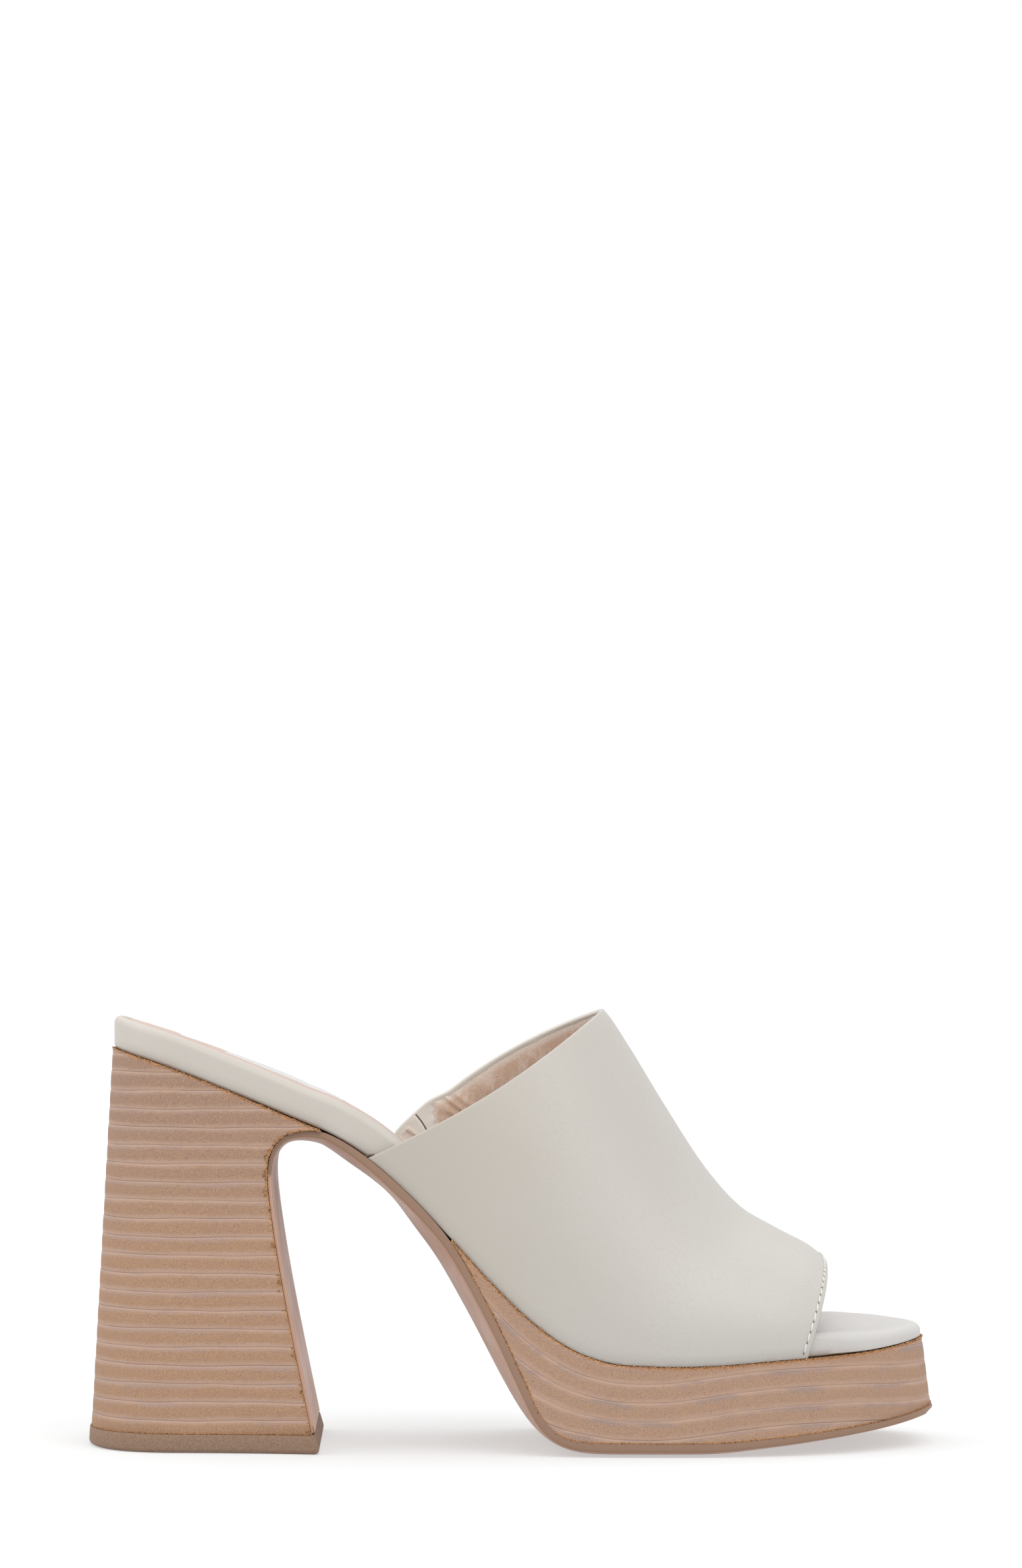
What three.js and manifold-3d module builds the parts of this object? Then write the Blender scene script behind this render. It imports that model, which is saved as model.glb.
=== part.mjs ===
// Platform mule sandal, right foot, in millimetres: toe along +X, inner side of the foot along +Y, floor at
// z = 0. A wide open-toed vamp stands over a wrapped footbed, on a stacked platform and a flared stacked
// heel, with one thin moulded outsole that runs from the toe, up the waist and down the front of the heel.

import * as THREE from "three";
import { mergeVertices } from "three/addons/utils/BufferGeometryUtils.js";
import Module from "manifold-3d";

const wasm = await Module();
wasm.setup();

// Driving sizes.
const footbedLength = 209.6; // back of the heel seat to the tip of the toe, seen from above
const ballWidth = 79; // footbed across the ball of the foot
const heelSeatHeight = 101.6; // floor to the underside of the footbed, at its back
const platformHeight = 22.5; // floor to the underside of the footbed, at the ball
const footbedThickness = 8.2; // at the heel; it thins towards the toe
const footbedRoll = 3.2; // radius of the wrapped upper edge of the footbed
const footbedDish = 0.9; // depth of the shallow bed that holds the sock
const sockThickness = 0.6;
const sockInset = 4.6; // bare margin of footbed round the sock
const vampWall = 2; // outer leather and lining together
const vampHeight = 89.7; // top of the platform to the top of the vamp
const vampTrim = 0.9; // how much narrower the footbed is where the vamp stands against it
const soleThickness = 3.5; // outsole at the middle of the tread
const liftThickness = 4.7; // top lift, under the heel
const liftEdge = 1.3; // rounding of the top lift's lower edge
const heelBackFlare = 5.4; // how far the heel spreads backwards on its way down
const heelSideFlare = 2.2; // how far it spreads to each side
const platformFlare = 1.6; // how far the platform spreads on its way down
const platformMargin = 0.1; // platform beyond the vamp
const toeLip = 0.5; // platform and heel beyond the footbed, where it is bare
const stackLayer = 4.63; // one layer of the stack
const stackGroove = 0.3; // depth of the groove between two layers
const liftProud = 0.35; // top lift beyond the heel
const seam = 0.3; // clearance between two curved pieces

// Places worked out from the sizes above. Every place along the shoe is a share of the footbed's length.
const footbedBack = -footbedLength / 2;
const along = (share) => footbedBack + share * footbedLength;
const shareAt = (x) => (x - footbedBack) / footbedLength;
const shoeBack = footbedBack - toeLip - heelBackFlare - liftProud;
const shoeTip = along(1) + toeLip + platformFlare;
const heelFoot = liftThickness + seam; // underside of the heel
const vampStand = seam + vampWall - vampTrim; // outer face of the vamp beyond the footbed's outline
const platformLip = vampStand + platformMargin; // platform beyond the outline, under the vamp
const { lerp, smoothstep, clamp } = THREE.MathUtils;

// A smooth function of place through one column of a table whose rows go from back to front.
function column(rows, name) {
  const places = rows.map((row) => row.along);
  const curve = new THREE.CubicInterpolant(places, rows.map((row) => row[name]), 1);
  return (share) => curve.evaluate(share)[0];
}

// Underside of the footbed from the side: rise is the share of the way from the platform to the heel seat.
const seatRows = [
  { along: 0.0, rise: 1.004 },
  { along: 0.07, rise: 0.946 },
  { along: 0.15, rise: 0.864 },
  { along: 0.23, rise: 0.776 },
  { along: 0.27, rise: 0.731 },
  { along: 0.313, rise: 0.66 },
  { along: 0.367, rise: 0.535 },
  { along: 0.415, rise: 0.402 },
  { along: 0.462, rise: 0.267 },
  { along: 0.51, rise: 0.145 },
  { along: 0.558, rise: 0.056 },
  { along: 0.605, rise: 0.011 },
  { along: 0.652, rise: 0 },
  { along: 0.724, rise: 0 },
  { along: 0.819, rise: 0.0164 },
  { along: 0.92, rise: 0.031 },
  { along: 1.0, rise: 0.056 },
  { along: 1.04, rise: 0.072 },
];
const seatRise = column(seatRows, "rise");

function seatHeight(x) {
  return platformHeight + seatRise(shareAt(x)) * (heelSeatHeight - platformHeight);
}

// Height of a sheet that lies over the seat line, at a distance measured square to the line.
function aboveSeat(x, distance) {
  const step = 0.5;
  const slope = (seatHeight(x + step) - seatHeight(x - step)) / (2 * step);
  return seatHeight(x) + distance * Math.hypot(1, slope);
}

// Footbed outline from above, as shares of the ball width on the outer and the inner side of the foot.
const outlineRows = [
  { along: 0.0, outer: 0.312, inner: 0.388 },
  { along: 0.11, outer: 0.318, inner: 0.393 },
  { along: 0.25, outer: 0.342, inner: 0.392 },
  { along: 0.4, outer: 0.4, inner: 0.398 },
  { along: 0.54, outer: 0.468, inner: 0.44 },
  { along: 0.66, outer: 0.5, inner: 0.48 },
  { along: 0.75, outer: 0.494, inner: 0.5 },
  { along: 0.86, outer: 0.436, inner: 0.492 },
  { along: 0.95, outer: 0.36, inner: 0.47 },
  { along: 1.0, outer: 0.3, inner: 0.45 },
];
const outerShare = column(outlineRows, "outer");
const innerShare = column(outlineRows, "inner");
const heelRound = { length: 0.125, fullness: 2.35 };
const toeRound = { length: 0.2, fullness: 2.25 };

// How far a round end has closed, at a distance from its tip: 0 at the tip, 1 where the round begins.
function endShare(distance, round) {
  const reach = round.length * footbedLength;
  if (distance >= reach) return 1;
  const inside = 1 - Math.max(distance, 0) / reach;
  return (1 - inside ** round.fullness) ** (1 / round.fullness);
}

// The footbed outline at a share of its length, on side -1 (outer) or +1 (inner).
function outlinePoint(share, side) {
  const outer = outerShare(share) * ballWidth;
  const inner = innerShare(share) * ballWidth;
  const middle = (inner - outer) / 2;
  const length = share * footbedLength;
  const closed = endShare(length, heelRound) * endShare(footbedLength - length, toeRound);
  return new THREE.Vector2(along(share), middle + (side * (inner + outer) * closed) / 2);
}

// The same point moved out, square to the outline, by a distance given for each axis.
function outlineOffset(share, side, outX, outY = outX) {
  const step = 0.0008;
  const low = Math.max(share - step, 0);
  const high = Math.min(share + step, 1);
  const tangent = outlinePoint(high, side).sub(outlinePoint(low, side)).normalize();
  const atTip = share <= 0 || share >= 1;
  const normal = atTip
    ? new THREE.Vector2(share <= 0 ? -1 : 1, 0)
    : new THREE.Vector2(-tangent.y * side, tangent.x * side);
  const point = outlinePoint(share, side);
  return new THREE.Vector2(point.x + normal.x * outX, point.y + normal.y * outY);
}

// Shares of the length that lie close together at round ends and further apart between them.
function shares(count, from = 0, to = 1, { back = true, front = true } = {}) {
  const list = [];
  for (let i = 0; i <= count; i += 1) {
    const t = i / count;
    let eased = t;
    if (back && front) eased = (1 - Math.cos(Math.PI * t)) / 2;
    else if (back) eased = 1 - Math.cos((Math.PI * t) / 2);
    else if (front) eased = Math.sin((Math.PI * t) / 2);
    list.push(from + eased * (to - from));
  }
  return list;
}

// The y of the outline, moved out by an offset, at a place along the shoe.
function reachAt(x, side, offset) {
  const points = shares(90).map((share) => outlineOffset(share, side, offset));
  let best = points[0];
  for (let i = 1; i < points.length; i += 1) {
    const a = points[i - 1];
    const b = points[i];
    if (x >= a.x && x <= b.x) {
      const t = (x - a.x) / Math.max(b.x - a.x, 1e-9);
      return a.y + t * (b.y - a.y);
    }
    if (Math.abs(b.x - x) < Math.abs(best.x - x)) best = b;
  }
  return best.y;
}

// A closed solid from rings of points stacked one after another. Every ring has the same even count, starts
// at one tip and has the other tip halfway round, so each end is closed by a ladder between its two sides.
function stack(rings) {
  const count = rings[0].length;
  const positions = rings.flat(2);
  const index = [];
  for (let r = 0; r + 1 < rings.length; r += 1) {
    for (let i = 0; i < count; i += 1) {
      const a = r * count + i;
      const b = r * count + ((i + 1) % count);
      index.push(a, b, b + count, a, b + count, a + count);
    }
  }
  const ladder = (start, flip) => {
    for (let i = 0; i < count / 2; i += 1) {
      const a = start + i;
      const b = start + i + 1;
      const c = start + ((count - i - 1) % count);
      const d = start + ((count - i) % count);
      const faces = [[a, c, b], [a, d, c]].filter((face) => new Set(face).size === 3);
      faces.forEach((face) => index.push(...(flip ? face.reverse() : face)));
    }
  };
  ladder(0, false);
  ladder((rings.length - 1) * count, true);
  const geometry = new THREE.BufferGeometry();
  geometry.setAttribute("position", new THREE.Float32BufferAttribute(positions, 3));
  geometry.setIndex(index);
  return facingOut(geometry);
}

// Turns a closed geometry's faces outwards if its volume comes out negative.
function facingOut(geometry) {
  const { array } = geometry.attributes.position;
  const index = geometry.index.array;
  let volume = 0;
  for (let i = 0; i < index.length; i += 3) {
    const [a, b, c] = [0, 1, 2].map((k) => new THREE.Vector3().fromArray(array, index[i + k] * 3));
    volume += a.dot(b.cross(c));
  }
  if (volume < 0) for (let i = 0; i < index.length; i += 3) {
    [index[i + 1], index[i + 2]] = [index[i + 2], index[i + 1]];
  }
  return geometry;
}

// A geometry as a solid that can be cut, and a cut solid as a geometry again.
function solidOf(geometry) {
  const bare = geometry.clone();
  bare.deleteAttribute("normal");
  bare.deleteAttribute("uv");
  const merged = mergeVertices(bare, 1e-4);
  const mesh = new wasm.Mesh({
    numProp: 3,
    vertProperties: new Float32Array(merged.attributes.position.array),
    triVerts: new Uint32Array(merged.index.array),
  });
  return new wasm.Manifold(mesh);
}

function geometryOf(solid) {
  const mesh = solid.getMesh();
  const geometry = new THREE.BufferGeometry();
  geometry.setAttribute("position", new THREE.BufferAttribute(mesh.vertProperties, 3));
  geometry.setIndex(new THREE.BufferAttribute(mesh.triVerts, 1));
  return geometry;
}

// A side profile, drawn in x and z, pushed right across the shoe.
function acrossShoe(points) {
  const shape = new THREE.Shape(points.map(([x, z]) => new THREE.Vector2(x, z)));
  const geometry = new THREE.ExtrudeGeometry(shape, { depth: 2 * ballWidth, bevelEnabled: false });
  geometry.rotateX(Math.PI / 2);
  geometry.translate(0, ballWidth, 0);
  return geometry;
}

// Outsole, seen from the side. On the breast of the heel rise is a share of the heel's own height; edge and
// bulge are shares of the outsole's thickness, bulge being what is added at the middle of the width.
const breastRows = [
  { along: 0.2476, rise: 0.0015, edge: 0.25, bulge: 0 },
  { along: 0.229, rise: 0.1965, edge: 0.25, bulge: 0 },
  { along: 0.2129, rise: 0.3732, edge: 0.25, bulge: 0 },
  { along: 0.1989, rise: 0.5604, edge: 0.25, bulge: 0 },
  { along: 0.1937, rise: 0.6687, edge: 0.27, bulge: 0.02 },
  { along: 0.1968, rise: 0.7286, edge: 0.3, bulge: 0.1 },
  { along: 0.2103, rise: 0.7718, edge: 0.36, bulge: 0.3 },
  { along: 0.2305, rise: 0.7886, edge: 0.42, bulge: 0.5 },
];

// From the arch to the toe: lift is the share of the way from the tread up to the seat line.
const soleRows = [
  { along: 0.2637, lift: 1.0, edge: 0.47, bulge: 0.7 },
  { along: 0.3031, lift: 1.0, edge: 0.55, bulge: 0.85 },
  { along: 0.3549, lift: 1.0, edge: 0.62, bulge: 0.6 },
  { along: 0.3932, lift: 0.999, edge: 0.62, bulge: 1.05 },
  { along: 0.4119, lift: 0.987, edge: 0.6, bulge: 1.15 },
  { along: 0.4295, lift: 0.958, edge: 0.58, bulge: 1.15 },
  { along: 0.445, lift: 0.91, edge: 0.57, bulge: 1.15 },
  { along: 0.4761, lift: 0.745, edge: 0.57, bulge: 1.1 },
  { along: 0.5072, lift: 0.44, edge: 0.58, bulge: 0.9 },
  { along: 0.5238, lift: 0.22, edge: 0.6, bulge: 0.62 },
  { along: 0.5404, lift: 0.098, edge: 0.62, bulge: 0.44 },
  { along: 0.5569, lift: 0.04, edge: 0.63, bulge: 0.37 },
  { along: 0.5766, lift: 0.012, edge: 0.63, bulge: 0.37 },
  { along: 0.5953, lift: 0, edge: 0.63, bulge: 0.37 },
  { along: 0.6264, lift: 0, edge: 0.63, bulge: 0.37 },
  { along: 0.6989, lift: 0, edge: 0.63, bulge: 0.37 },
  { along: 0.73, lift: 0, edge: 0.63, bulge: 0.37 },
  { along: 0.787, lift: 0.042, edge: 0.63, bulge: 0.33 },
  { along: 0.8678, lift: 0.116, edge: 0.63, bulge: 0.26 },
  { along: 0.9528, lift: 0.196, edge: 0.6, bulge: 0.2 },
  { along: 1.0098, lift: 0.27, edge: 0.55, bulge: 0.15 },
  { along: 1.0409, lift: 0.32, edge: 0.5, bulge: 0.15 },
];
const soleLift = column(soleRows, "lift");
const soleEdge = column(soleRows, "edge");
const soleBulge = column(soleRows, "bulge");
const platformStart = 0.42; // where the platform parts from the seat line

// Height of the outsole's upper face, from the arch to the toe.
function soleTop(x) {
  return soleThickness + clamp(soleLift(shareAt(x)), 0, 1) * (seatHeight(x) - soleThickness);
}

// The direction of the outsole's upper face from the side, as a unit vector towards the toe.
function soleTangent(x) {
  const step = 0.25;
  return new THREE.Vector2(2 * step, soleTop(x + step) - soleTop(x - step)).normalize();
}

// The outsole's upper face as a list of stations, from the foot of the heel's breast up to the arch.
const archStart = soleRows[0].along;
function breastStations() {
  const heelHeight = heelSeatHeight - heelFoot;
  const points = breastRows.map(
    (row) => new THREE.Vector3(along(row.along), heelFoot + row.rise * heelHeight, 0),
  );
  for (const share of [archStart, archStart + 0.02]) {
    points.push(new THREE.Vector3(along(share), soleTop(along(share)), 0));
  }
  const curve = new THREE.CatmullRomCurve3(points, false);
  const rows = [...breastRows, soleRows[0]];
  const perSpan = [1, 1, 1, 2, 3, 3, 2, 2];
  return perSpan.flatMap((parts, span) => Array.from({ length: parts }, (_, part) => {
    const t = part / parts;
    const at = (span + t) / (points.length - 1);
    const point = curve.getPoint(at);
    const tangent = curve.getTangent(at);
    return {
      x: point.x,
      z: point.y,
      tangent: new THREE.Vector2(tangent.x, tangent.y).normalize(),
      edge: lerp(rows[span].edge, rows[span + 1].edge, t),
      bulge: lerp(rows[span].bulge, rows[span + 1].bulge, t),
      tread: 0,
      onBreast: true,
    };
  }));
}

// The same from the arch to the tip of the toe.
function soleStations() {
  const straight = { back: false, front: false };
  const waist = shares(24, archStart, 0.5953, straight);
  const tread = shares(8, 0.6264, 0.8543, straight);
  const tip = shareAt(shoeTip - seam / 2);
  const toe = shares(9, 0.8803, tip, { back: false, front: true });
  return [...waist, ...tread, ...toe].map((share) => ({
    x: along(share),
    z: soleTop(along(share)),
    tangent: soleTangent(along(share)),
    edge: soleEdge(share),
    bulge: soleBulge(share),
    tread: smoothstep(share, 0.5124, 0.5745),
    onBreast: false,
  }));
}

// How far the heel's outline spreads at a height, as a share of its whole flare.
const heelSpread = (z) => clamp(1 - z / heelSeatHeight, 0, 1);

// Heel outline at a height, moved out by an extra amount, from its back to a share of the footbed's length.
function heelRing(z, out, frontX, count) {
  const spread = heelSpread(z);
  const outX = toeLip + out + spread * heelBackFlare;
  const outY = toeLip + out + spread * heelSideFlare;
  const places = shares(count, 0, 0.36, { front: false });
  const sides = [-1, 1].map((side) => places.map((share) => outlineOffset(share, side, outX, outY)));
  const back = sides[0][0].x;
  const front = sides[0][count].x;
  const fit = (point) => [back + ((point.x - back) * (frontX - back)) / (front - back), point.y, z];
  const outer = sides[0].slice(1).map(fit);
  const inner = sides[1].slice(1).map(fit);
  const middle = (outer[count - 1][1] + inner[count - 1][1]) / 2;
  return [fit(sides[0][0]), ...outer, [frontX, middle, z], ...inner.reverse()];
}

function heelBlock() {
  const bottomLayer = 0.69 * stackLayer;
  const front = along(0.3259);
  const rings = [heelRing(heelFoot - stackLayer, 0, front, 15)];
  for (let z = heelFoot + bottomLayer; z < heelSeatHeight + 3 * seam; z += stackLayer) {
    rings.push(heelRing(z, -stackGroove, front, 15), heelRing(z + stackLayer / 2, 0, front, 15));
  }
  return geometryOf(solidOf(stack(rings)).intersect(solidOf(acrossShoe(heelProfile()))));
}

// The heel from the side: the footbed above it, the outsole on its breast and round the arch, the lift below.
function heelProfile() {
  const breast = breastStations().map(({ x, z, tangent }) => [x - tangent.y * seam, z + tangent.x * seam]);
  const above = breast.filter(([x, z]) => z > heelFoot && z < seatHeight(x) - seam / 2);
  const tip = above[above.length - 1];
  const seatPlaces = shares(14, -0.02, 0.28, { back: false, front: false }).map(along);
  const seat = seatPlaces.filter((x) => x < tip[0] - 1);
  const behind = shoeBack - 5 * stackLayer;
  return [
    [behind, heelFoot],
    [breast[0][0] + 0.2 * seam, heelFoot],
    ...above,
    ...seat.reverse().map((x) => [x, seatHeight(x)]),
    [behind, heelSeatHeight],
  ];
}

function topLift() {
  const front = breastRows[0];
  const frontX = along(front.along) + front.edge * soleThickness;
  const ring = (z, inset) => {
    const lean = (liftThickness - z) * 0.3;
    return heelRing(z, liftProud - inset, frontX + lean - inset, 12);
  };
  const rounded = [[0, 1], [0.30769, 0.26923], [1, 0]];
  const lower = rounded.map(([up, inset]) => ring(up * liftEdge, inset * liftEdge));
  return stack([...lower, ring(liftThickness, 0)]);
}

function outsole() {
  const across = [-1, -0.92, -0.76, -0.4, 0, 0.4, 0.76, 0.92, 1];
  const stations = [...breastStations(), ...soleStations()];
  const rings = stations.map(({ x, z, tangent, edge, bulge, tread, onBreast }) => {
    const lip = lerp(toeLip, platformLip, smoothstep(shareAt(x), 0.2637, 0.3466));
    const beyond = onBreast
      ? toeLip + heelSpread(z) * heelSideFlare - 2 * seam
      : lip + (platformFlare * Math.max(seatHeight(x) - z, 0)) / platformHeight;
    const [outer, inner] = [-1, 1].map((side) => reachAt(x, side, beyond));
    const flat = 0.72 * tread;
    const depth = (v) => {
      const off = Math.max(Math.abs(v) - flat, 0) / (1 - flat);
      return soleThickness * (edge + bulge * (1 - off * off));
    };
    const place = (v, down) => [
      x + tangent.y * down,
      (outer + inner) / 2 + (v * (inner - outer)) / 2,
      z - tangent.x * down,
    ];
    const top = across.map((v) => place(v, 0));
    const bottom = across.map((v) => place(v, depth(v)));
    return [place(-1, depth(-1) / 2), ...top, place(1, depth(1) / 2), ...bottom.reverse()];
  });
  return stack(rings);
}

// Lines of the stack on the platform: cover is how many layers lie between the first line and the seat.
const grainRows = [
  { along: 0.388, cover: 1.25 },
  { along: 0.5124, cover: 1.22 },
  { along: 0.5518, cover: 1.1 },
  { along: 0.5953, cover: 0.98 },
  { along: 0.6678, cover: 0.87 },
  { along: 0.7466, cover: 0.5 },
  { along: 0.8264, cover: 0.42 },
  { along: 0.9103, cover: 0.62 },
  { along: 0.9994, cover: 1.3 },
  { along: 1.0512, cover: 1.6 },
];
const grainCover = column(grainRows, "cover");

function grainHeight(x, layer) {
  const line = (place) => seatHeight(place) - grainCover(shareAt(place)) * stackLayer;
  const step = 0.5;
  const slope = (line(x + step) - line(x - step)) / (2 * step);
  return line(x) - layer * stackLayer * Math.hypot(1, slope);
}

function platform() {
  const count = 30;
  const rear = platformStart - 0.03;
  const levels = [-2.5, -1.5, -1, -0.5, 0, 0.5, 1, 1.5, 2, 2.5, 3, 3.5, 4.5, 6];
  const rings = levels.map((level) => {
    const groove = Number.isInteger(level) ? stackGroove : 0;
    const sides = [-1, 1].map((side) => shares(count, rear, 1, { back: false }).map((share) => {
      const lip = lerp(platformLip, toeLip, smoothstep(share, 0.86, 0.93));
      const start = outlinePoint(share, side);
      const depth = seatHeight(start.x) - grainHeight(start.x, level);
      const flare = (platformFlare * clamp(depth, 0, platformHeight)) / platformHeight;
      const point = outlineOffset(share, side, lip + flare - groove);
      return [point.x, point.y, grainHeight(point.x, level)];
    }));
    const [outer, inner] = sides;
    const middle = outer[0].map((value, axis) => (value + inner[0][axis]) / 2);
    return [middle, ...outer, ...inner.slice(0, -1).reverse()];
  });
  return geometryOf(solidOf(stack(rings)).intersect(solidOf(acrossShoe(platformProfile()))));
}

// The platform from the side: the footbed above it and the outsole below it.
function platformProfile() {
  const places = shares(46, platformStart - 0.003, 1.0407, { back: false, front: false }).map(along);
  const lowest = (x) => soleTop(x) + seam / soleTangent(x).x;
  const kept = places.filter((x) => x > along(0.6) || seatHeight(x) - lowest(x) > seam / 2);
  return [...kept.map((x) => [x, lowest(x)]), ...kept.reverse().map((x) => [x, seatHeight(x)])];
}

// The footbed thins towards the toe, where its edge is rounder; the bed for the sock runs out under the vamp.
function footbedHeight(share) {
  return footbedThickness * (1 - 0.27 * smoothstep(share, 0.5, 0.84) - 0.26 * smoothstep(share, 0.86, 1));
}
const footbedBed = (share) => footbedDish * (1 - smoothstep(share, 0.6, 0.74));
const toeSoftness = (share) => 1 + 0.8 * smoothstep(share, 0.8, 0.93);

// A sheet that follows the seat line. Each ring is an inset from the outline and a height above the seat:
// a share of the footbed's thickness, a height over that, and a share of the depth of the sock's bed.
function seatSheet(levels, count, from, to, ease) {
  const rings = levels.map(({ inset, rise = 0, over = 0, dish = 0 }) => {
    const sides = [-1, 1].map((side) => shares(count, from, to, ease).map((share) => {
      const { x, y } = outlineOffset(share, side, -vampRecess(share) - inset * toeSoftness(share));
      const height = seam + rise * footbedHeight(share) + over - dish * footbedBed(share);
      return [x, y, aboveSeat(x, height)];
    }));
    const [outer, inner] = sides;
    const mean = (a, b) => a.map((value, axis) => (value + b[axis]) / 2);
    const back = mean(outer[0], inner[0]);
    const front = mean(outer[count], inner[count]);
    return [back, ...outer.slice(1, -1), front, ...inner.slice(1, -1).reverse()];
  });
  return stack(rings);
}

// The footbed is trimmed a little narrower where the vamp stands against it.
function vampRecess(share) {
  return vampTrim * smoothstep(share, 0.285, 0.318) * (1 - smoothstep(share, 0.885, 0.925));
}

function footbed() {
  const under = 0.1;
  const levels = [{ inset: 0.9, rise: 0 }, { inset: 0, rise: under }];
  const roll = footbedRoll / footbedThickness;
  for (const turn of [0, 0.25, 0.5, 0.75, 1]) {
    const angle = (turn * Math.PI) / 2;
    levels.push({ inset: footbedRoll * (1 - Math.cos(angle)), rise: 1 - roll * (1 - Math.sin(angle)) });
  }
  levels.push({ inset: sockInset - seam, rise: 1, dish: 1 });
  return seatSheet(levels, 40, 0, 1);
}

function sock() {
  const levels = [
    { inset: sockInset, rise: 1, over: seam, dish: 1 },
    { inset: sockInset, rise: 1, over: seam + 0.6 * sockThickness, dish: 1 },
    { inset: sockInset + 0.5 * sockThickness, rise: 1, over: seam + sockThickness, dish: 1 },
  ];
  return seatSheet(levels, 28, 0.004, 0.7, { front: false });
}

// Sections of the vamp, from the throat to the open toe. Outer and inner are where the section stands on the
// seat on each side, and ridge is its highest point, all along the footbed; rise is that point's share of the
// vamp's height; fullness squares the section and bulge swells its sides. Here along counts the sections.
const vampRows = [
  { along: 0, outer: 0.3176, inner: 0.3269, ridge: 0.6067, rise: 0.995, fullness: 2.1, bulge: 0.02 },
  { along: 1, outer: 0.3725, inner: 0.3818, ridge: 0.6424, rise: 0.8737, fullness: 2.15, bulge: 0.022 },
  { along: 2, outer: 0.4326, inner: 0.4461, ridge: 0.6823, rise: 0.7198, fullness: 2.2, bulge: 0.026 },
  { along: 3, outer: 0.5093, inner: 0.5227, ridge: 0.7305, rise: 0.5459, fullness: 2.25, bulge: 0.03 },
  { along: 4, outer: 0.5984, inner: 0.616, ridge: 0.7751, rise: 0.4284, fullness: 2.3, bulge: 0.034 },
  { along: 5, outer: 0.6958, inner: 0.7155, ridge: 0.8201, rise: 0.3646, fullness: 2.35, bulge: 0.034 },
  { along: 6, outer: 0.7839, inner: 0.8087, ridge: 0.859, rise: 0.317, fullness: 2.4, bulge: 0.03 },
  { along: 7, outer: 0.8429, inner: 0.8709, ridge: 0.8792, rise: 0.2808, fullness: 2.4, bulge: 0.024 },
];
const vampColumn = Object.fromEntries(
  ["outer", "inner", "ridge", "rise", "fullness", "bulge"].map((name) => [name, column(vampRows, name)]),
);
const ridgeSide = 0.055; // how far the ridge lies towards the inner side, as a share of the ball width
const throatDip = { outer: 0.0124, inner: 0.0187 }; // throat line's sag outside and rise inside, as shares

// The outer face of the vamp: t runs from the throat to the toe, and turn from the outer foot (0), over the
// ridge, to the inner foot (1).
function vampPoint(t, turn) {
  const row = t * (vampRows.length - 1);
  const side = turn < 0.5 ? -1 : 1;
  const angle = Math.PI * (turn < 0.5 ? turn : 1 - turn);
  const power = 2 / vampColumn.fullness(row);
  const up = Math.sin(angle) ** power;
  const out = Math.max(Math.cos(angle), 0) ** power;
  const footX = along(vampColumn[side < 0 ? "outer" : "inner"](row));
  const ridgeX = along(vampColumn.ridge(row));
  const footZ = seatHeight(footX) + seam;
  const ridgeZ = platformHeight + vampColumn.rise(row) * vampHeight;
  const sag = side < 0 ? -throatDip.outer : throatDip.inner;
  const dip = sag * footbedLength * Math.sin(Math.PI * up) * (1 - t) ** 3;
  const x = footX + (ridgeX - footX) * up - dip * 0.6;
  const z = footZ + (ridgeZ - footZ) * up + dip * 0.8;
  const ridgeY = ridgeSide * ballWidth;
  const wallY = reachAt(x, side, vampStand);
  const swell = side * vampColumn.bulge(row) * ballWidth * Math.sin(2 * angle);
  return new THREE.Vector3(x, ridgeY + (wallY - ridgeY) * out + swell, z);
}

function vampNormal(t, turn) {
  const step = 0.004;
  const lower = (value) => Math.max(value - step, 0);
  const upper = (value) => Math.min(value + step, 1);
  const forward = vampPoint(upper(t), turn).sub(vampPoint(lower(t), turn));
  const around = vampPoint(t, upper(turn)).sub(vampPoint(t, lower(turn)));
  return forward.cross(around).normalize();
}

function vamp() {
  const longCount = 15;
  const turnCount = 30;
  const rings = [];
  for (let j = 0; j <= turnCount; j += 1) {
    const turn = j / turnCount;
    const atFoot = j === 0 || j === turnCount;
    const outer = [];
    const inner = [];
    for (let i = 0; i <= longCount; i += 1) {
      const t = i / longCount;
      const point = vampPoint(t, turn);
      const inside = point.clone().addScaledVector(vampNormal(t, turn), -vampWall);
      if (atFoot) {
        const side = j === 0 ? -1 : 1;
        inside.set(point.x, point.y - side * vampWall, point.z);
      }
      outer.push(point);
      inner.push(inside);
    }
    const rim = (a, b, next) => {
      const middle = a.clone().add(b).multiplyScalar(0.5);
      return middle.addScaledVector(a.clone().sub(next).normalize(), 0.3 * vampWall);
    };
    const throat = rim(outer[0], inner[0], outer[1]);
    const toe = rim(outer[longCount], inner[longCount], outer[longCount - 1]);
    if (atFoot) {
      throat.z = seatHeight(throat.x) + seam;
      toe.z = seatHeight(toe.x) + seam;
    }
    rings.push([throat, ...outer, toe, ...inner.reverse()].map((point) => point.toArray()));
  }
  return stack(rings);
}

const leather = new THREE.MeshStandardMaterial({ color: 0xcbc5bd, roughness: 0.5, metalness: 0 });
const sockLeather = new THREE.MeshStandardMaterial({ color: 0xd0bdb2, roughness: 0.6, metalness: 0 });
const stacked = new THREE.MeshStandardMaterial({ color: 0xb49380, roughness: 0.8, metalness: 0 });
const soleRubber = new THREE.MeshStandardMaterial({ color: 0xa07b62, roughness: 0.6, metalness: 0 });
const liftRubber = new THREE.MeshStandardMaterial({ color: 0x967a67, roughness: 0.8, metalness: 0 });

const pieces = [
  ["outsole", outsole(), soleRubber],
  ["platform", platform(), stacked],
  ["heel", heelBlock(), stacked],
  ["top_lift", topLift(), liftRubber],
  ["footbed", footbed(), leather],
  ["sock", sock(), sockLeather],
  ["vamp", vamp(), leather],
];

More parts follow.
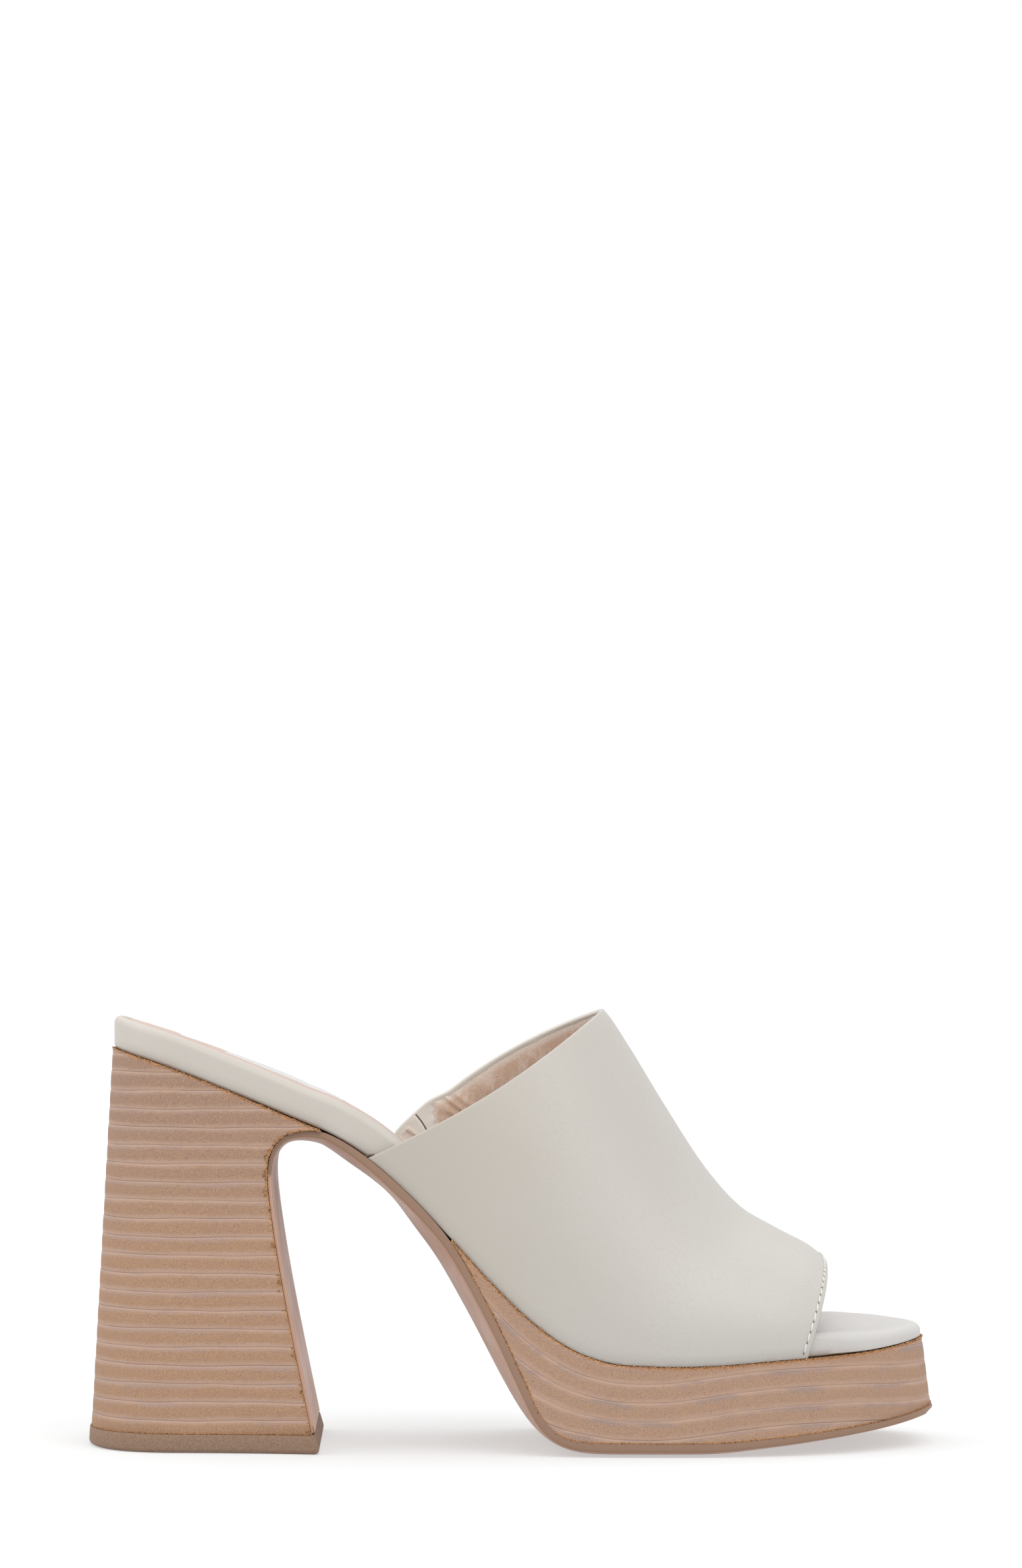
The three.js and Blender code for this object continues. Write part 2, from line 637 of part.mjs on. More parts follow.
const shoe = new THREE.Group();
for (const [name, geometry, material] of pieces) {
  const mesh = new THREE.Mesh(geometry, material);
  mesh.name = name;
  shoe.add(mesh);
}

// The origin is on the floor, under the middle of the shoe's box.
const box = new THREE.Box3().setFromObject(shoe);
const middle = box.getCenter(new THREE.Vector3());
shoe.position.set(-middle.x, -middle.y, 0);

export default shoe;
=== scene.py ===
"""A right platform mule sandal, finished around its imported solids.

The toe points along +X, the outer side of the foot faces -Y and the floor is at z = 0. Sizes are in
millimetres in the drawing's own frame; carry() moves finished points to the row frame, in metres.
"""

import math
import random

import bmesh
import bpy
import numpy as np
from mathutils import Euler, Matrix, Vector
from mathutils.kdtree import KDTree


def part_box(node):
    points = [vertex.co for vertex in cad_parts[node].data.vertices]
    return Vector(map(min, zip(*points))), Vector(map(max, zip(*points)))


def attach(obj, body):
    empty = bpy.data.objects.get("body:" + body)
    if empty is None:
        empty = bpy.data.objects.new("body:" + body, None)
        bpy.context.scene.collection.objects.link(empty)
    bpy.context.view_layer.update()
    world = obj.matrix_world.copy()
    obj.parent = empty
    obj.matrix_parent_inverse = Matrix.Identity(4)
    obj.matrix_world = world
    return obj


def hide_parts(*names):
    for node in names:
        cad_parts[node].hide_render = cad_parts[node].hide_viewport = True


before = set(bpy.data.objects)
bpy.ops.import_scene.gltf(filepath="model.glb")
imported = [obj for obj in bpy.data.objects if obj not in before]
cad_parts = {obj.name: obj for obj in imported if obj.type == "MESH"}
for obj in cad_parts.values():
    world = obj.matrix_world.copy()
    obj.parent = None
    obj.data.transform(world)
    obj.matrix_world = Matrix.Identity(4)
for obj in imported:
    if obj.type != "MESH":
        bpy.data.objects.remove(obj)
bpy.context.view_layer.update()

MM = 0.001
rng = random.Random(37)

# Driving sizes, as in the solids.
FOOTBED_LENGTH = 209.6
BALL_WIDTH = 79.0
HEEL_SEAT_HEIGHT = 101.6
PLATFORM_HEIGHT = 22.5
FOOTBED_THICKNESS = 8.2
FOOTBED_ROLL = 2.1
FOOTBED_DISH = 0.9
SOCK_THICKNESS = 0.6
SOCK_INSET = 3.2
SOCK_RING = 12  # how far in from its edge the sock starts to lie straight across
VAMP_WALL = 2.0
VAMP_HEIGHT = 89.7
VAMP_TRIM = 0.9
SOLE_THICKNESS = 3.5
LIFT_THICKNESS = 4.7
LIFT_EDGE = 1.3
HEEL_BACK_FLARE = 5.4
HEEL_SIDE_FLARE = 2.2
PLATFORM_FLARE = 1.6
TOE_FLARE = 1.2
TOE_LIP = 0.5
STACK_LAYER = 4.63
LAYER_GROOVE = 0.09
LIFT_PROUD = 0.35
SEAM = 0.3
GLUED = 0.07  # what is left of a seam once the boards are glued

FOOTBED_BACK = -FOOTBED_LENGTH / 2
HEEL_FOOT = LIFT_THICKNESS + SEAM
VAMP_STAND = SEAM + VAMP_WALL - VAMP_TRIM
PLATFORM_LIP = VAMP_STAND + 0.1
FIRST_LINE = HEEL_FOOT + 0.69 * STACK_LAYER
SHOE_TIP = FOOTBED_BACK + FOOTBED_LENGTH + TOE_LIP + PLATFORM_FLARE + 0.3

# Tables, each starting with a share of the footbed's length.
# The seat line: its rise from the platform's height to the heel seat's.
SEAT = [(0, 1.004), (.07, .946), (.15, .864), (.23, .776), (.27, .731), (.313, .66), (.367, .535),
        (.415, .402), (.462, .267), (.51, .145), (.558, .056), (.605, .011), (.652, 0), (.724, 0),
        (.819, .0164), (.92, .031), (1, .056), (1.04, .072)]
# The footbed's outer and inner half widths, in ball widths.
OUTLINE = [(0, .312, .388), (.11, .318, .393), (.25, .342, .392), (.4, .4, .398), (.54, .468, .44),
           (.66, .5, .48), (.75, .494, .5), (.86, .436, .492), (.95, .36, .47), (1, .3, .45)]
# The outsole's flap on the heel's breast: height, edge and bulge.
BREAST = [(.2476, .0015, .25, 0), (.229, .1965, .25, 0), (.2129, .3732, .25, 0), (.1989, .5604, .25, 0),
          (.1937, .6687, .27, .02), (.1968, .7286, .3, .1), (.2103, .7718, .36, .3),
          (.2305, .7886, .42, .5)]
# The outsole under the waist and the tread: lift towards the seat line, edge and bulge.
SOLE = [(.2637, 1, .47, .7), (.3031, 1, .55, .85), (.3549, 1, .62, .6), (.3932, .999, .62, 1.05),
        (.4119, .993, .6, 1.15), (.4295, .963, .58, 1.15), (.445, .91, .57, 1.15),
        (.4761, .745, .57, 1.1), (.5072, .44, .58, .9), (.5238, .22, .6, .62),
        (.5404, .098, .62, .44), (.5569, .04, .63, .37), (.5766, .012, .63, .37),
        (.5953, 0, .63, .37), (.6264, 0, .63, .37), (.6989, 0, .63, .37), (.73, 0, .62, .37),
        (.787, .042, .57, .33), (.8678, .116, .52, .26), (.9528, .196, .45, .2),
        (1.0098, .27, .42, .15), (1.0409, .32, .42, .15)]
# How many layers thick the platform's board is above its first line.
GRAIN = [(.388, 1.25), (.5124, 1.22), (.5518, 1.1), (.5953, .98), (.6678, .87), (.7466, .5),
         (.8264, .42), (.9103, .62), (.9994, 1.3), (1.0512, 1.6)]
# The vamp's rows, numbered from throat to toe: where its outer foot, inner foot and ridge lie along
# the footbed, the ridge's rise, the section's fullness and its swell.
VAMP = [(0, .3176, .3269, .6067, 1.003, 2.1, .02), (1, .3725, .3818, .6424, .8737, 2.15, .022),
        (2, .4326, .4461, .6823, .7198, 2.2, .026), (3, .5093, .5227, .7305, .5459, 2.25, .03),
        (4, .5984, .616, .7751, .4284, 2.3, .034), (5, .6958, .7155, .8201, .3646, 2.35, .034),
        (6, .7839, .8087, .859, .317, 2.4, .03), (7, .8429, .8709, .8792, .2808, 2.4, .024)]
# How much lower the footbed's inner edge is finished, in millimetres.
INNER_DROP = [(0, 0), (.03, .7), (.08, 1), (.14, .7), (.21, .25), (.25, .5), (.29, 1.25), (.34, 1.35),
              (.42, .5), (.5, 0), (.84, 0), (.91, -1), (.96, -.95), (1, 0)]
HEEL_ROUND, TOE_ROUND = (.125, 2.35), (.2, 2.25)  # how far each round end reaches, and its fullness
HEEL_WRAP, HEEL_FRONT = .36, .3259  # the part of the outline the heel follows, and where it is cut
PLATFORM_START, PLATFORM_END = .42, 1.0407
THROAT_SAG, THROAT_RISE = .0124, .0187
RIDGE_SIDE = .055
NOSE_ROUND = 1.7  # how far the outsole's nose curves back under the toe
TAIL_RISE, PEAK_CURL = 1.9, 0.7  # the vamp's raised inner rear edge and its rounded peak


def column(rows, k):
    """A smooth curve through one column of a table, level beyond its ends."""
    t = np.array([row[0] for row in rows], float)
    v = np.array([row[k] for row in rows], float)
    last = len(t) - 1

    def curve(x):
        x = np.clip(np.asarray(x, float), t[0], t[-1])
        i = np.clip(np.searchsorted(t, x, side="right"), 1, last)
        before = np.where(i >= 2, i - 2, i)
        after = np.where(i < last, i + 1, i - 1)
        t0, t1 = t[i - 1], t[i]
        wp = (t1 - t0) / 2 / (t0 - t[before])
        wn = (t1 - t0) / 2 / (t[after] - t1)
        p = (x - t0) / (t1 - t0)
        pp, ppp = p * p, p * p * p
        return ((-wp * ppp + 2 * wp * pp - wp * p) * v[before]
                + ((1 + wp) * ppp + (-1.5 - 2 * wp) * pp + (-0.5 + wp) * p + 1) * v[i - 1]
                + ((-1 - wn) * ppp + (1.5 + wn) * pp + 0.5 * p) * v[i]
                + (wn * ppp - wn * pp) * v[after])
    return curve


def along(share):
    return FOOTBED_BACK + np.asarray(share, float) * FOOTBED_LENGTH


def share_at(x):
    return (np.asarray(x, float) - FOOTBED_BACK) / FOOTBED_LENGTH


def smooth(x, low, high):
    t = np.clip((np.asarray(x, float) - low) / (high - low), 0, 1)
    return t * t * (3 - 2 * t)


def lerp(a, b, t):
    return a + (b - a) * t


def spaced(count, low=0.0, high=1.0, back=True, front=True):
    """Shares of the length, close together at the ends that are round."""
    t = np.linspace(0, 1, count + 1)
    if back and front:
        t = (1 - np.cos(math.pi * t)) / 2
    elif back:
        t = 1 - np.cos(math.pi * t / 2)
    else:
        t = np.sin(math.pi * t / 2)
    return low + t * (high - low)


seat_rise = column(SEAT, 1)
outer_share, inner_share = column(OUTLINE, 1), column(OUTLINE, 2)
sole_lift, sole_edge, sole_bulge = (column(SOLE, k) for k in (1, 2, 3))
grain_cover = column(GRAIN, 1)


def seat_height(x):
    return PLATFORM_HEIGHT + seat_rise(share_at(x)) * (HEEL_SEAT_HEIGHT - PLATFORM_HEIGHT)


def slope_of(line, x, step=0.5):
    return (line(x + step) - line(x - step)) / (2 * step)


def above_seat(x, distance):
    """Height of a sheet over the seat line, at a distance measured square to the line."""
    return seat_height(x) + distance * np.hypot(1, slope_of(seat_height, x))


def end_share(distance, reach, fullness):
    inside = 1 - np.clip(distance / reach, 0, 1)
    return (1 - inside ** fullness) ** (1 / fullness)


def outline_point(share, side):
    share = np.asarray(share, float)
    outer, inner = outer_share(share) * BALL_WIDTH, inner_share(share) * BALL_WIDTH
    length = share * FOOTBED_LENGTH
    back, front = ((reach * FOOTBED_LENGTH, fullness) for reach, fullness in (HEEL_ROUND, TOE_ROUND))
    closed = end_share(length, *back) * end_share(FOOTBED_LENGTH - length, *front)
    return np.stack([along(share), (inner - outer) / 2 + side * (inner + outer) * closed / 2], -1)


def outline_offset(share, side, out_x, out_y=None):
    """A point of the footbed's outline, moved out square to it."""
    share = np.asarray(share, float)
    side = np.asarray(side, float)
    out_y = out_x if out_y is None else out_y
    step = 0.0008
    tangent = (outline_point(np.minimum(share + step, 1), side)
               - outline_point(np.maximum(share - step, 0), side))
    tangent /= np.maximum(np.linalg.norm(tangent, axis=-1, keepdims=True), 1e-12)
    nx, ny = -tangent[..., 1] * side, tangent[..., 0] * side
    tip = np.where(share <= 0, -1.0, np.where(share >= 1, 1.0, 0.0))
    nx, ny = np.where(tip != 0, tip, nx), np.where(tip != 0, 0.0, ny)
    point = outline_point(share, side)
    return np.stack([point[..., 0] + nx * out_x, point[..., 1] + ny * out_y], -1)


def reach_at(x, side, offset):
    """The y of the outline, moved out by an offset, at a place along the shoe."""
    points = outline_offset(spaced(400), side, offset)
    return np.interp(x, points[:, 0], points[:, 1])


def sole_top(x):
    lift = np.clip(sole_lift(share_at(x)), 0, 1)
    return SOLE_THICKNESS + lift * (seat_height(x) - SOLE_THICKNESS)


def breast_line(per_span):
    """Stations of the outsole on the heel's breast: x, z, the way it runs, edge and bulge."""
    height = HEEL_SEAT_HEIGHT - HEEL_FOOT
    points = [Vector((float(along(row[0])), HEEL_FOOT + row[1] * height)) for row in BREAST]
    for share in (SOLE[0][0], SOLE[0][0] + 0.02):
        points.append(Vector((float(along(share)), float(sole_top(along(share))))))
    rims = np.array([row[2:] for row in BREAST + SOLE[:1]])
    stations = []
    for span in range(len(BREAST)):
        p1, p2 = points[span], points[span + 1]
        p0 = points[span - 1] if span else p1 * 2 - p2
        p3 = points[span + 2]
        d0, d1, d2 = (math.sqrt((b - a).length) for a, b in ((p0, p1), (p1, p2), (p2, p3)))
        m1 = ((p1 - p0) / d0 - (p2 - p0) / (d0 + d1) + (p2 - p1) / d1) * d1
        m2 = ((p2 - p1) / d1 - (p3 - p1) / (d1 + d2) + (p3 - p2) / d2) * d1
        for t in np.arange(per_span) / per_span:
            c2, c3 = -3 * p1 + 3 * p2 - 2 * m1 - m2, 2 * p1 - 2 * p2 + m1 + m2
            point = p1 + m1 * t + c2 * t * t + c3 * t ** 3
            way = (m1 + 2 * c2 * t + 3 * c3 * t * t).normalized()
            stations.append((*point, *way, *lerp(rims[span], rims[span + 1], t)))
    return np.array(stations)


def heel_spread(z):
    return np.clip(1 - z / HEEL_SEAT_HEIGHT, 0, 1)


def heel_wall(turn, z, out, front_x):
    """The heel's outline at a height, as turn goes from 0 at the outer front round the back to 1."""
    side = np.where(turn < 0.5, -1.0, 1.0)
    share = HEEL_WRAP * (1 - np.cos(math.pi / 2 * np.abs(turn - 0.5) * 2))
    out_x = TOE_LIP + out + heel_spread(z) * HEEL_BACK_FLARE
    out_y = TOE_LIP + out + heel_spread(z) * HEEL_SIDE_FLARE
    point = outline_offset(share, side, out_x, out_y)
    back = FOOTBED_BACK - out_x
    front = outline_offset(np.full_like(share, HEEL_WRAP), side, out_x, out_y)[..., 0]
    x = back + (point[..., 0] - back) * (front_x - back) / (front - back)
    return np.stack([x, point[..., 1], z], -1)


def grain_height(x, layer):
    def line(place):
        return seat_height(place) - grain_cover(share_at(place)) * STACK_LAYER
    return line(x) - layer * STACK_LAYER * np.hypot(1, slope_of(line, x))


def layer_at(x, z):
    """Which layer of the platform's stack a point lies in, counted down from the first line."""
    return (grain_height(x, 0) - z) / np.maximum(grain_height(x, 0) - grain_height(x, 1), 1e-6)


# Placing finished points in the row frame.
SHIFT = Vector((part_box("footbed")[0].x - FOOTBED_BACK * MM, 0, 0))
SHIFT.y = (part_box("footbed")[0].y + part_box("footbed")[1].y) / 2 - 0.5 * MM * (
    outline_offset(spaced(400), -1, 0)[:, 1].min() + outline_offset(spaced(400), 1, 0)[:, 1].max())


def carry(points):
    """Drawing millimetres to row metres."""
    return np.asarray(points, float) * MM + np.array(SHIFT)


def new_object(name, bm, finish=None, smooth_angle=0):
    """Makes a named object of a bmesh, shaded smooth except across edges sharper than an angle."""
    mesh = bpy.data.meshes.new(name)
    for face in bm.faces:
        face.smooth = True
    bm.to_mesh(mesh)
    bm.free()
    if finish:
        mesh.materials.append(finish)
    if smooth_angle:
        mesh.set_sharp_from_angle(angle=math.radians(smooth_angle))
    piece = bpy.data.objects.new(name, mesh)
    bpy.context.scene.collection.objects.link(piece)
    return piece


def round_trip(places):
    """Places out along the outer side and back along the inner one, with the side of each."""
    share = np.concatenate([places, places[-2::-1]])
    return share, np.where(np.arange(len(share)) < len(places), -1.0, 1.0)


def closed_ring(face, back):
    """A ring round two facing rows of points, closed at the middle of each end."""
    start, end = (face[0] + back[0]) / 2, (face[-1] + back[-1]) / 2
    return np.array([start, *face, end, *back[::-1], start])


def stacked(rings):
    """A closed body from stacked rings. Each ring's halves face each other, and meet at both ends."""
    rings = np.asarray(rings, float)
    folded = (rings + rings[:, ::-1]) / 2
    rings = np.concatenate([folded[:1], rings, folded[-1:]])
    points = carry(np.concatenate([rings, rings[:, :1]], axis=1))
    columns, rows = points.shape[1] - 1, points.shape[0] - 1
    bm = bmesh.new()
    bm.loops.layers.uv.new("UVMap")
    bmesh.ops.create_grid(bm, x_segments=columns, y_segments=rows, size=1, calc_uvs=True)
    for vert in bm.verts:
        i, j = round((vert.co.x + 1) / 2 * columns), round((vert.co.y + 1) / 2 * rows)
        vert.co = points[j, i]
    bmesh.ops.remove_doubles(bm, verts=bm.verts, dist=1e-7)
    bmesh.ops.recalc_face_normals(bm, faces=bm.faces)
    return bm


def prism(name, profile):
    """A side profile in x and z, pushed right across the shoe."""
    bm = bmesh.new()
    verts = [bm.verts.new(carry((x, -BALL_WIDTH, z))) for x, z in profile]
    face = bm.faces.new(verts)
    made = bmesh.ops.extrude_face_region(bm, geom=[face])
    moved = [v for v in made["geom"] if isinstance(v, bmesh.types.BMVert)]
    bmesh.ops.translate(bm, verts=moved, vec=(0, 2 * BALL_WIDTH * MM, 0))
    bmesh.ops.recalc_face_normals(bm, faces=bm.faces)
    return new_object(name, bm)


def trim(piece, cutter):
    """Keeps what a piece shares with a cutter, drops the cutter, and gives the points that are left."""
    cut = piece.modifiers.new("trim", "BOOLEAN")
    cut.operation, cut.solver, cut.object = "INTERSECT", "EXACT", cutter
    graph = bpy.context.evaluated_depsgraph_get()
    mesh = bpy.data.meshes.new_from_object(piece.evaluated_get(graph))
    piece.modifiers.clear()
    piece.data = mesh
    bpy.data.objects.remove(cutter)
    mesh.set_sharp_from_angle(angle=math.radians(50))
    return points_of(piece)


def attribute(piece, name, values):
    """Puts a number on each point of a piece, for its finish to read."""
    layer = piece.data.attributes.new(name, "FLOAT", "POINT")
    layer.data.foreach_set("value", np.asarray(values, np.float32))


def fix_to_shoe(piece):
    """Makes a piece move with the shoe, which is one rigid body."""
    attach(piece, "root")


def points_of(piece):
    """A piece's points in drawing millimetres."""
    co = np.zeros(len(piece.data.vertices) * 3, np.float32)
    piece.data.vertices.foreach_get("co", co)
    return (co.reshape(-1, 3).astype(float) - np.array(SHIFT)) / MM


def lying_on(piece, points, values):
    """For each point of a piece, the value of the listed point that it lies on, or 0."""
    values = np.broadcast_to(values, len(points))
    tree = KDTree(len(points))
    for k, point in enumerate(points):
        tree.insert(Vector(point), k)
    tree.balance()
    found = [tree.find(Vector(point)) for point in points_of(piece)]
    return np.array([values[k] if gap < 1e-3 else 0.0 for _, k, gap in found])


# Finishes.
STUDIO_GAIN = 1.45  # how much brighter the studio shows a surface than its own colour


def tone(r, g, b):
    """A finish's own colour, from the 0 to 255 screen values that it shows in the studio."""
    def linear(c):
        c /= 255
        return (c / 12.92 if c <= 0.04045 else ((c + 0.055) / 1.055) ** 2.4) / STUDIO_GAIN
    return (linear(r), linear(g), linear(b), 1)


class Wire:
    """A shader socket that Python's operators work on."""

    def __init__(self, finish, socket):
        self.finish, self.socket = finish, socket

    def math(self, operation, *others):
        return self.finish.node("Math", {"operation": operation}, self, *others)

    def __add__(self, other): return self.math("ADD", other)
    def __sub__(self, other): return self.math("SUBTRACT", other)
    def __mul__(self, other): return self.math("MULTIPLY", other)
    def __rsub__(self, other): return self * -1 + other
    __radd__, __rmul__ = __add__, __mul__


class Finish:
    """A material for one surface, with its shader and the nodes that vary it."""

    def __init__(self, name, **fixed):
        self.material = bpy.data.materials.new(name)
        self.material.use_nodes = True
        self.tree = self.material.node_tree
        self.shader = self.tree.nodes["Principled BSDF"]
        for name, value in fixed.items():
            name = name.replace("_", " ").title().replace("Ior", "IOR")
            self.shader.inputs[name].default_value = value

    def node(self, kind, settings=None, *inputs, output=0, **named):
        """A node with its settings made first, then its sockets fed by place or by name."""
        made = self.tree.nodes.new("ShaderNode" + kind)
        for key, value in (settings or {}).items():
            setattr(made, key, value)
        for key, value in [*enumerate(inputs), *named.items()]:
            self.feed(made.inputs[key], value)
        return Wire(self, made.outputs[output])

    def feed(self, socket, value):
        if isinstance(value, Wire):
            self.tree.links.new(value.socket, socket)
        else:
            socket.default_value = value

    @property
    def place(self):
        return self.node("TexCoord", output=3)

    def stretched(self, x, y, z):
        return self.node("Mapping", None, self.place, Scale=(x, y, z))

    def coordinate(self, axis):
        return self.node("SeparateXYZ", None, self.place, output=axis)

    def reading(self, name):
        return self.node("Attribute", {"attribute_name": name}, output=2)

    def noise(self, size, detail=3.0, roughness=0.55, at=None):
        """Cloudy numbers around 0.5 whose lumps are about size millimetres across."""
        return self.node("TexNoise", None, Vector=at or self.place,
                         Scale=1 / (size * MM), Detail=detail, Roughness=roughness)

    def cells(self, size, feature="F1"):
        """Distance from the middle of the nearest of many small cells."""
        return self.node("TexVoronoi", {"feature": feature}, Vector=self.place,
                         Scale=1 / (size * MM))

    def step(self, value, low, high, start=0.0, end=1.0):
        """A smooth step of a value from start, at low, to end, at high."""
        settings = {"interpolation_type": "SMOOTHSTEP"}
        return self.node("MapRange", settings, value, low, high, start, end)

    def layers(self, colour, *coats):
        """Lays coats over a colour, each as strongly as its share says. A tuple is a screen tone."""
        for coat, share in coats:
            made = self.tree.nodes.new("ShaderNodeMix")
            made.data_type = "RGBA"
            for socket, value in zip((0, 6, 7), (share, colour, coat)):
                self.feed(made.inputs[socket], tone(*value) if isinstance(value, tuple) else value)
            colour = Wire(self, made.outputs[2])
        return colour

    def relief(self, height, depth, **base):
        """Bump from a height of 0 to 1 that stands for so many millimetres."""
        return self.node("Bump", None, Height=height, Distance=depth * MM, **base)

    def wear(self, colour, roughness, normal):
        """Connects what varies over the surface to the shader."""
        for name, value in (("Base Color", colour), ("Roughness", roughness), ("Normal", normal)):
            self.feed(self.shader.inputs[name], value)
        return self.material


def ivory_leather(name, front, rear):
    """Smooth dyed leather: a fine pebbled grain, warmer towards the rear, and painted light that makes
    the turned-in inner face paler than its shade.
    """
    finish = Finish(name, specular_ior_level=0.45)
    drift = finish.noise(30, 2)
    fine = finish.noise(0.4, 3, 0.6)
    pebble = finish.cells(0.6, "SMOOTH_F1")
    forward = finish.coordinate(0) + (drift - 0.5) * 0.03
    # The last coat is painted light: where a piece is marked inside, its turned-in face is painted
    # paler to make up for the shade it lies in.
    colour = finish.layers(rear, (front, finish.step(forward, -0.035, 0.060)),
                           (rear, finish.step(pebble + fine * 0.3, 0.52, 0.85, 0.0, 0.22)),
                           ((240, 234, 224), finish.reading("inside")))
    waves = finish.relief(finish.noise(3.2, 3), 0.03)
    return finish.wear(colour, finish.step(pebble, 0.2, 0.7, 0.42, 0.50),
                       finish.relief((1 - pebble) * 0.7 + fine * 0.3, 0.032, Normal=waves))


def stacked_board():
    """Layers of leather board: pale round the lines, with a painted highlight just below each line,
    speckled and darker between them, that darker middle partly the board's own tone and partly painted
    shade, greyer high up and on the platform, frayed at the cuts."""
    finish = Finish("stacked_board", specular_ior_level=0.2)
    edge = finish.reading("edge")
    front = finish.step(finish.coordinate(0), -0.045, -0.015)
    inside = finish.reading("layer").math("FRACT")
    speck = finish.noise(0.30, 2, 0.85)
    fleck = finish.noise(1.3, 3, 0.7, at=finish.stretched(0.7, 0.7, 1.2))
    patch = finish.noise(9, 3, 0.6, at=finish.stretched(0.45, 0.45, 1.8))
    uneven = inside + ((fleck - 0.5) * 0.26 + (patch - 0.5) * 0.25)
    # The middle of each layer is darker: partly the board's own speckled tone, partly painted shade;
    # the pale band round each line is partly painted light.
    middle = finish.step(uneven, 0.04, 0.34) * finish.step(uneven, 0.66, 0.95, 1.0, 0.0)
    pale = finish.layers((194, 163, 145), ((194, 162, 143), front))
    middle_tone_and_shade = finish.layers((178, 142, 116), ((179, 147, 126), front))
    high = finish.step(finish.coordinate(2), 0.045, 0.095)
    grey = finish.step(uneven, 0.55, 0.90) * finish.step(patch, 0.42, 0.60)
    strength = finish.step(middle, 0.0, 1.0, 0.45, 1.0)
    # Painted highlight: a pale strip just below each layer line.
    painted_line_highlight = finish.step(inside, 0.90, 0.94) * finish.step(inside, 0.965, 0.985, 1.0, 0.0)
    near_line = inside.math("PINGPONG", 0.5) + (speck - 0.5) * 0.012
    line = finish.step(near_line, 0.006, 0.026, 1.0, 0.0)
    frayed = finish.step(edge + (fleck - 0.5) * 1.6 + (speck - 0.5) * 0.6, 0.15, 0.95, 1.0, 0.0)
    cut = finish.layers((208, 152, 100), ((118, 80, 56), finish.step(speck, 0.44, 0.62)))
    colour = finish.layers(
        pale, (middle_tone_and_shade, middle * 0.9),
        ((160, 134, 124), high * middle * 0.6),
        ((158, 139, 134), grey * finish.step(front, 0.0, 1.0, 0.35, 0.8)),
        ((206, 162, 118), finish.step(speck, 0.50, 0.36) * strength * 0.7),
        ((136, 107, 98), finish.step(speck, 0.52, 0.68) * strength * 0.6),
        ((204, 174, 156), painted_line_highlight * 0.35),
        ((136, 108, 95), line * finish.step(patch, 0.35, 0.6, 0.15, 0.5)),
        (cut, frayed * 0.85))
    return finish.wear(colour, finish.step(middle, 0.0, 1.0, 0.66, 0.86),
                       finish.relief(speck * strength + fleck * 0.5, 0.07))


def moulded_sole():
    """Moulded rubber: a darker trimmed edge round a paler underside."""
    finish = Finish("sole_rubber", specular_ior_level=0.3)
    cloud = finish.noise(14, 3)
    grit = finish.noise(0.5, 3)
    under = finish.layers((213, 172, 150), ((203, 162, 141), cloud))
    side = finish.layers((160, 128, 106), ((152, 120, 99), cloud))
    colour = finish.layers(under, (side, finish.step(finish.reading("rim"), 0.35, 0.65)),
                           ((128, 99, 82), finish.step(grit, 0.60, 0.76, 0.0, 0.25)))
    return finish.wear(colour, finish.step(cloud, 0.3, 0.7, 0.42, 0.55), finish.relief(grit, 0.02))


def lift_rubber():
    """Finely pitted rubber."""
    finish = Finish("lift_rubber", specular_ior_level=0.3)
    pits = finish.cells(0.5)
    grit = finish.noise(0.45, 3, 0.7)
    colour = finish.layers((159, 130, 109), ((142, 114, 95), finish.step(grit, 0.4, 0.65)),
                           ((116, 92, 78), finish.step(pits, 0.24, 0.10, 0.0, 0.6)))
    return finish.wear(colour, finish.step(grit, 0.3, 0.7, 0.7, 0.85), finish.relief(pits + grit, 0.05))


def nap_lining():
    """Brushed lining leather: strokes of lighter and darker nap, and a pale edge along the throat."""
    finish = Finish("nap_lining", specular_ior_level=0.15)
    strokes = finish.noise(2.6, 4, 0.65, at=finish.stretched(1, 1, 0.6))
    nap = finish.noise(0.34, 3, 0.85)
    border = finish.step(finish.reading("edge") + (strokes - 0.5) * 2.5, 0.7, 2.4, 1.0, 0.0)
    colour = finish.layers((222, 190, 167), ((243, 222, 206), finish.step(strokes, 0.42, 0.72)),
                           ((246, 234, 222), border * 0.8),
                           ((186, 152, 130), finish.step(nap, 0.48, 0.70, 0.0, 0.6)))
    matte = finish.step(nap, 0.3, 0.7, 0.85, 0.95)
    return finish.wear(colour, matte, finish.relief(nap + strokes, 0.12))


def plain_leather(name, base, deep, rough=0.55, drifts=12):
    """Thin leather, thread, fibre or painted shade, in two tones that drift over so many millimetres.
    """
    finish = Finish(name, specular_ior_level=0.3)
    drift = finish.noise(drifts, 3)
    grain = finish.noise(0.4, 4, 0.6)
    colour = finish.layers(base, (deep, finish.step(drift + (grain - 0.5) * 0.4, 0.35, 0.7)))
    satin = finish.step(grain, 0.3, 0.7, rough - 0.05, rough + 0.06)
    return finish.wear(colour, satin, finish.relief(grain, 0.02))


LEATHER = ivory_leather("upper_leather", (204, 200, 194), (196, 188, 177))
FOOT_LEATHER = ivory_leather("footbed_leather", (211, 208, 205), (207, 200, 191))
BOARD = stacked_board()
SOLE_FINISH = moulded_sole()
LIFT_FINISH = lift_rubber()
LINING = nap_lining()
SOCK_FINISH = plain_leather("sock_leather", (216, 192, 179), (207, 182, 168))
PATCH_FINISH = plain_leather("patch", (226, 224, 224), (219, 216, 215), 0.5)
THREAD = plain_leather("thread", (236, 233, 227), (224, 219, 210), 0.7)
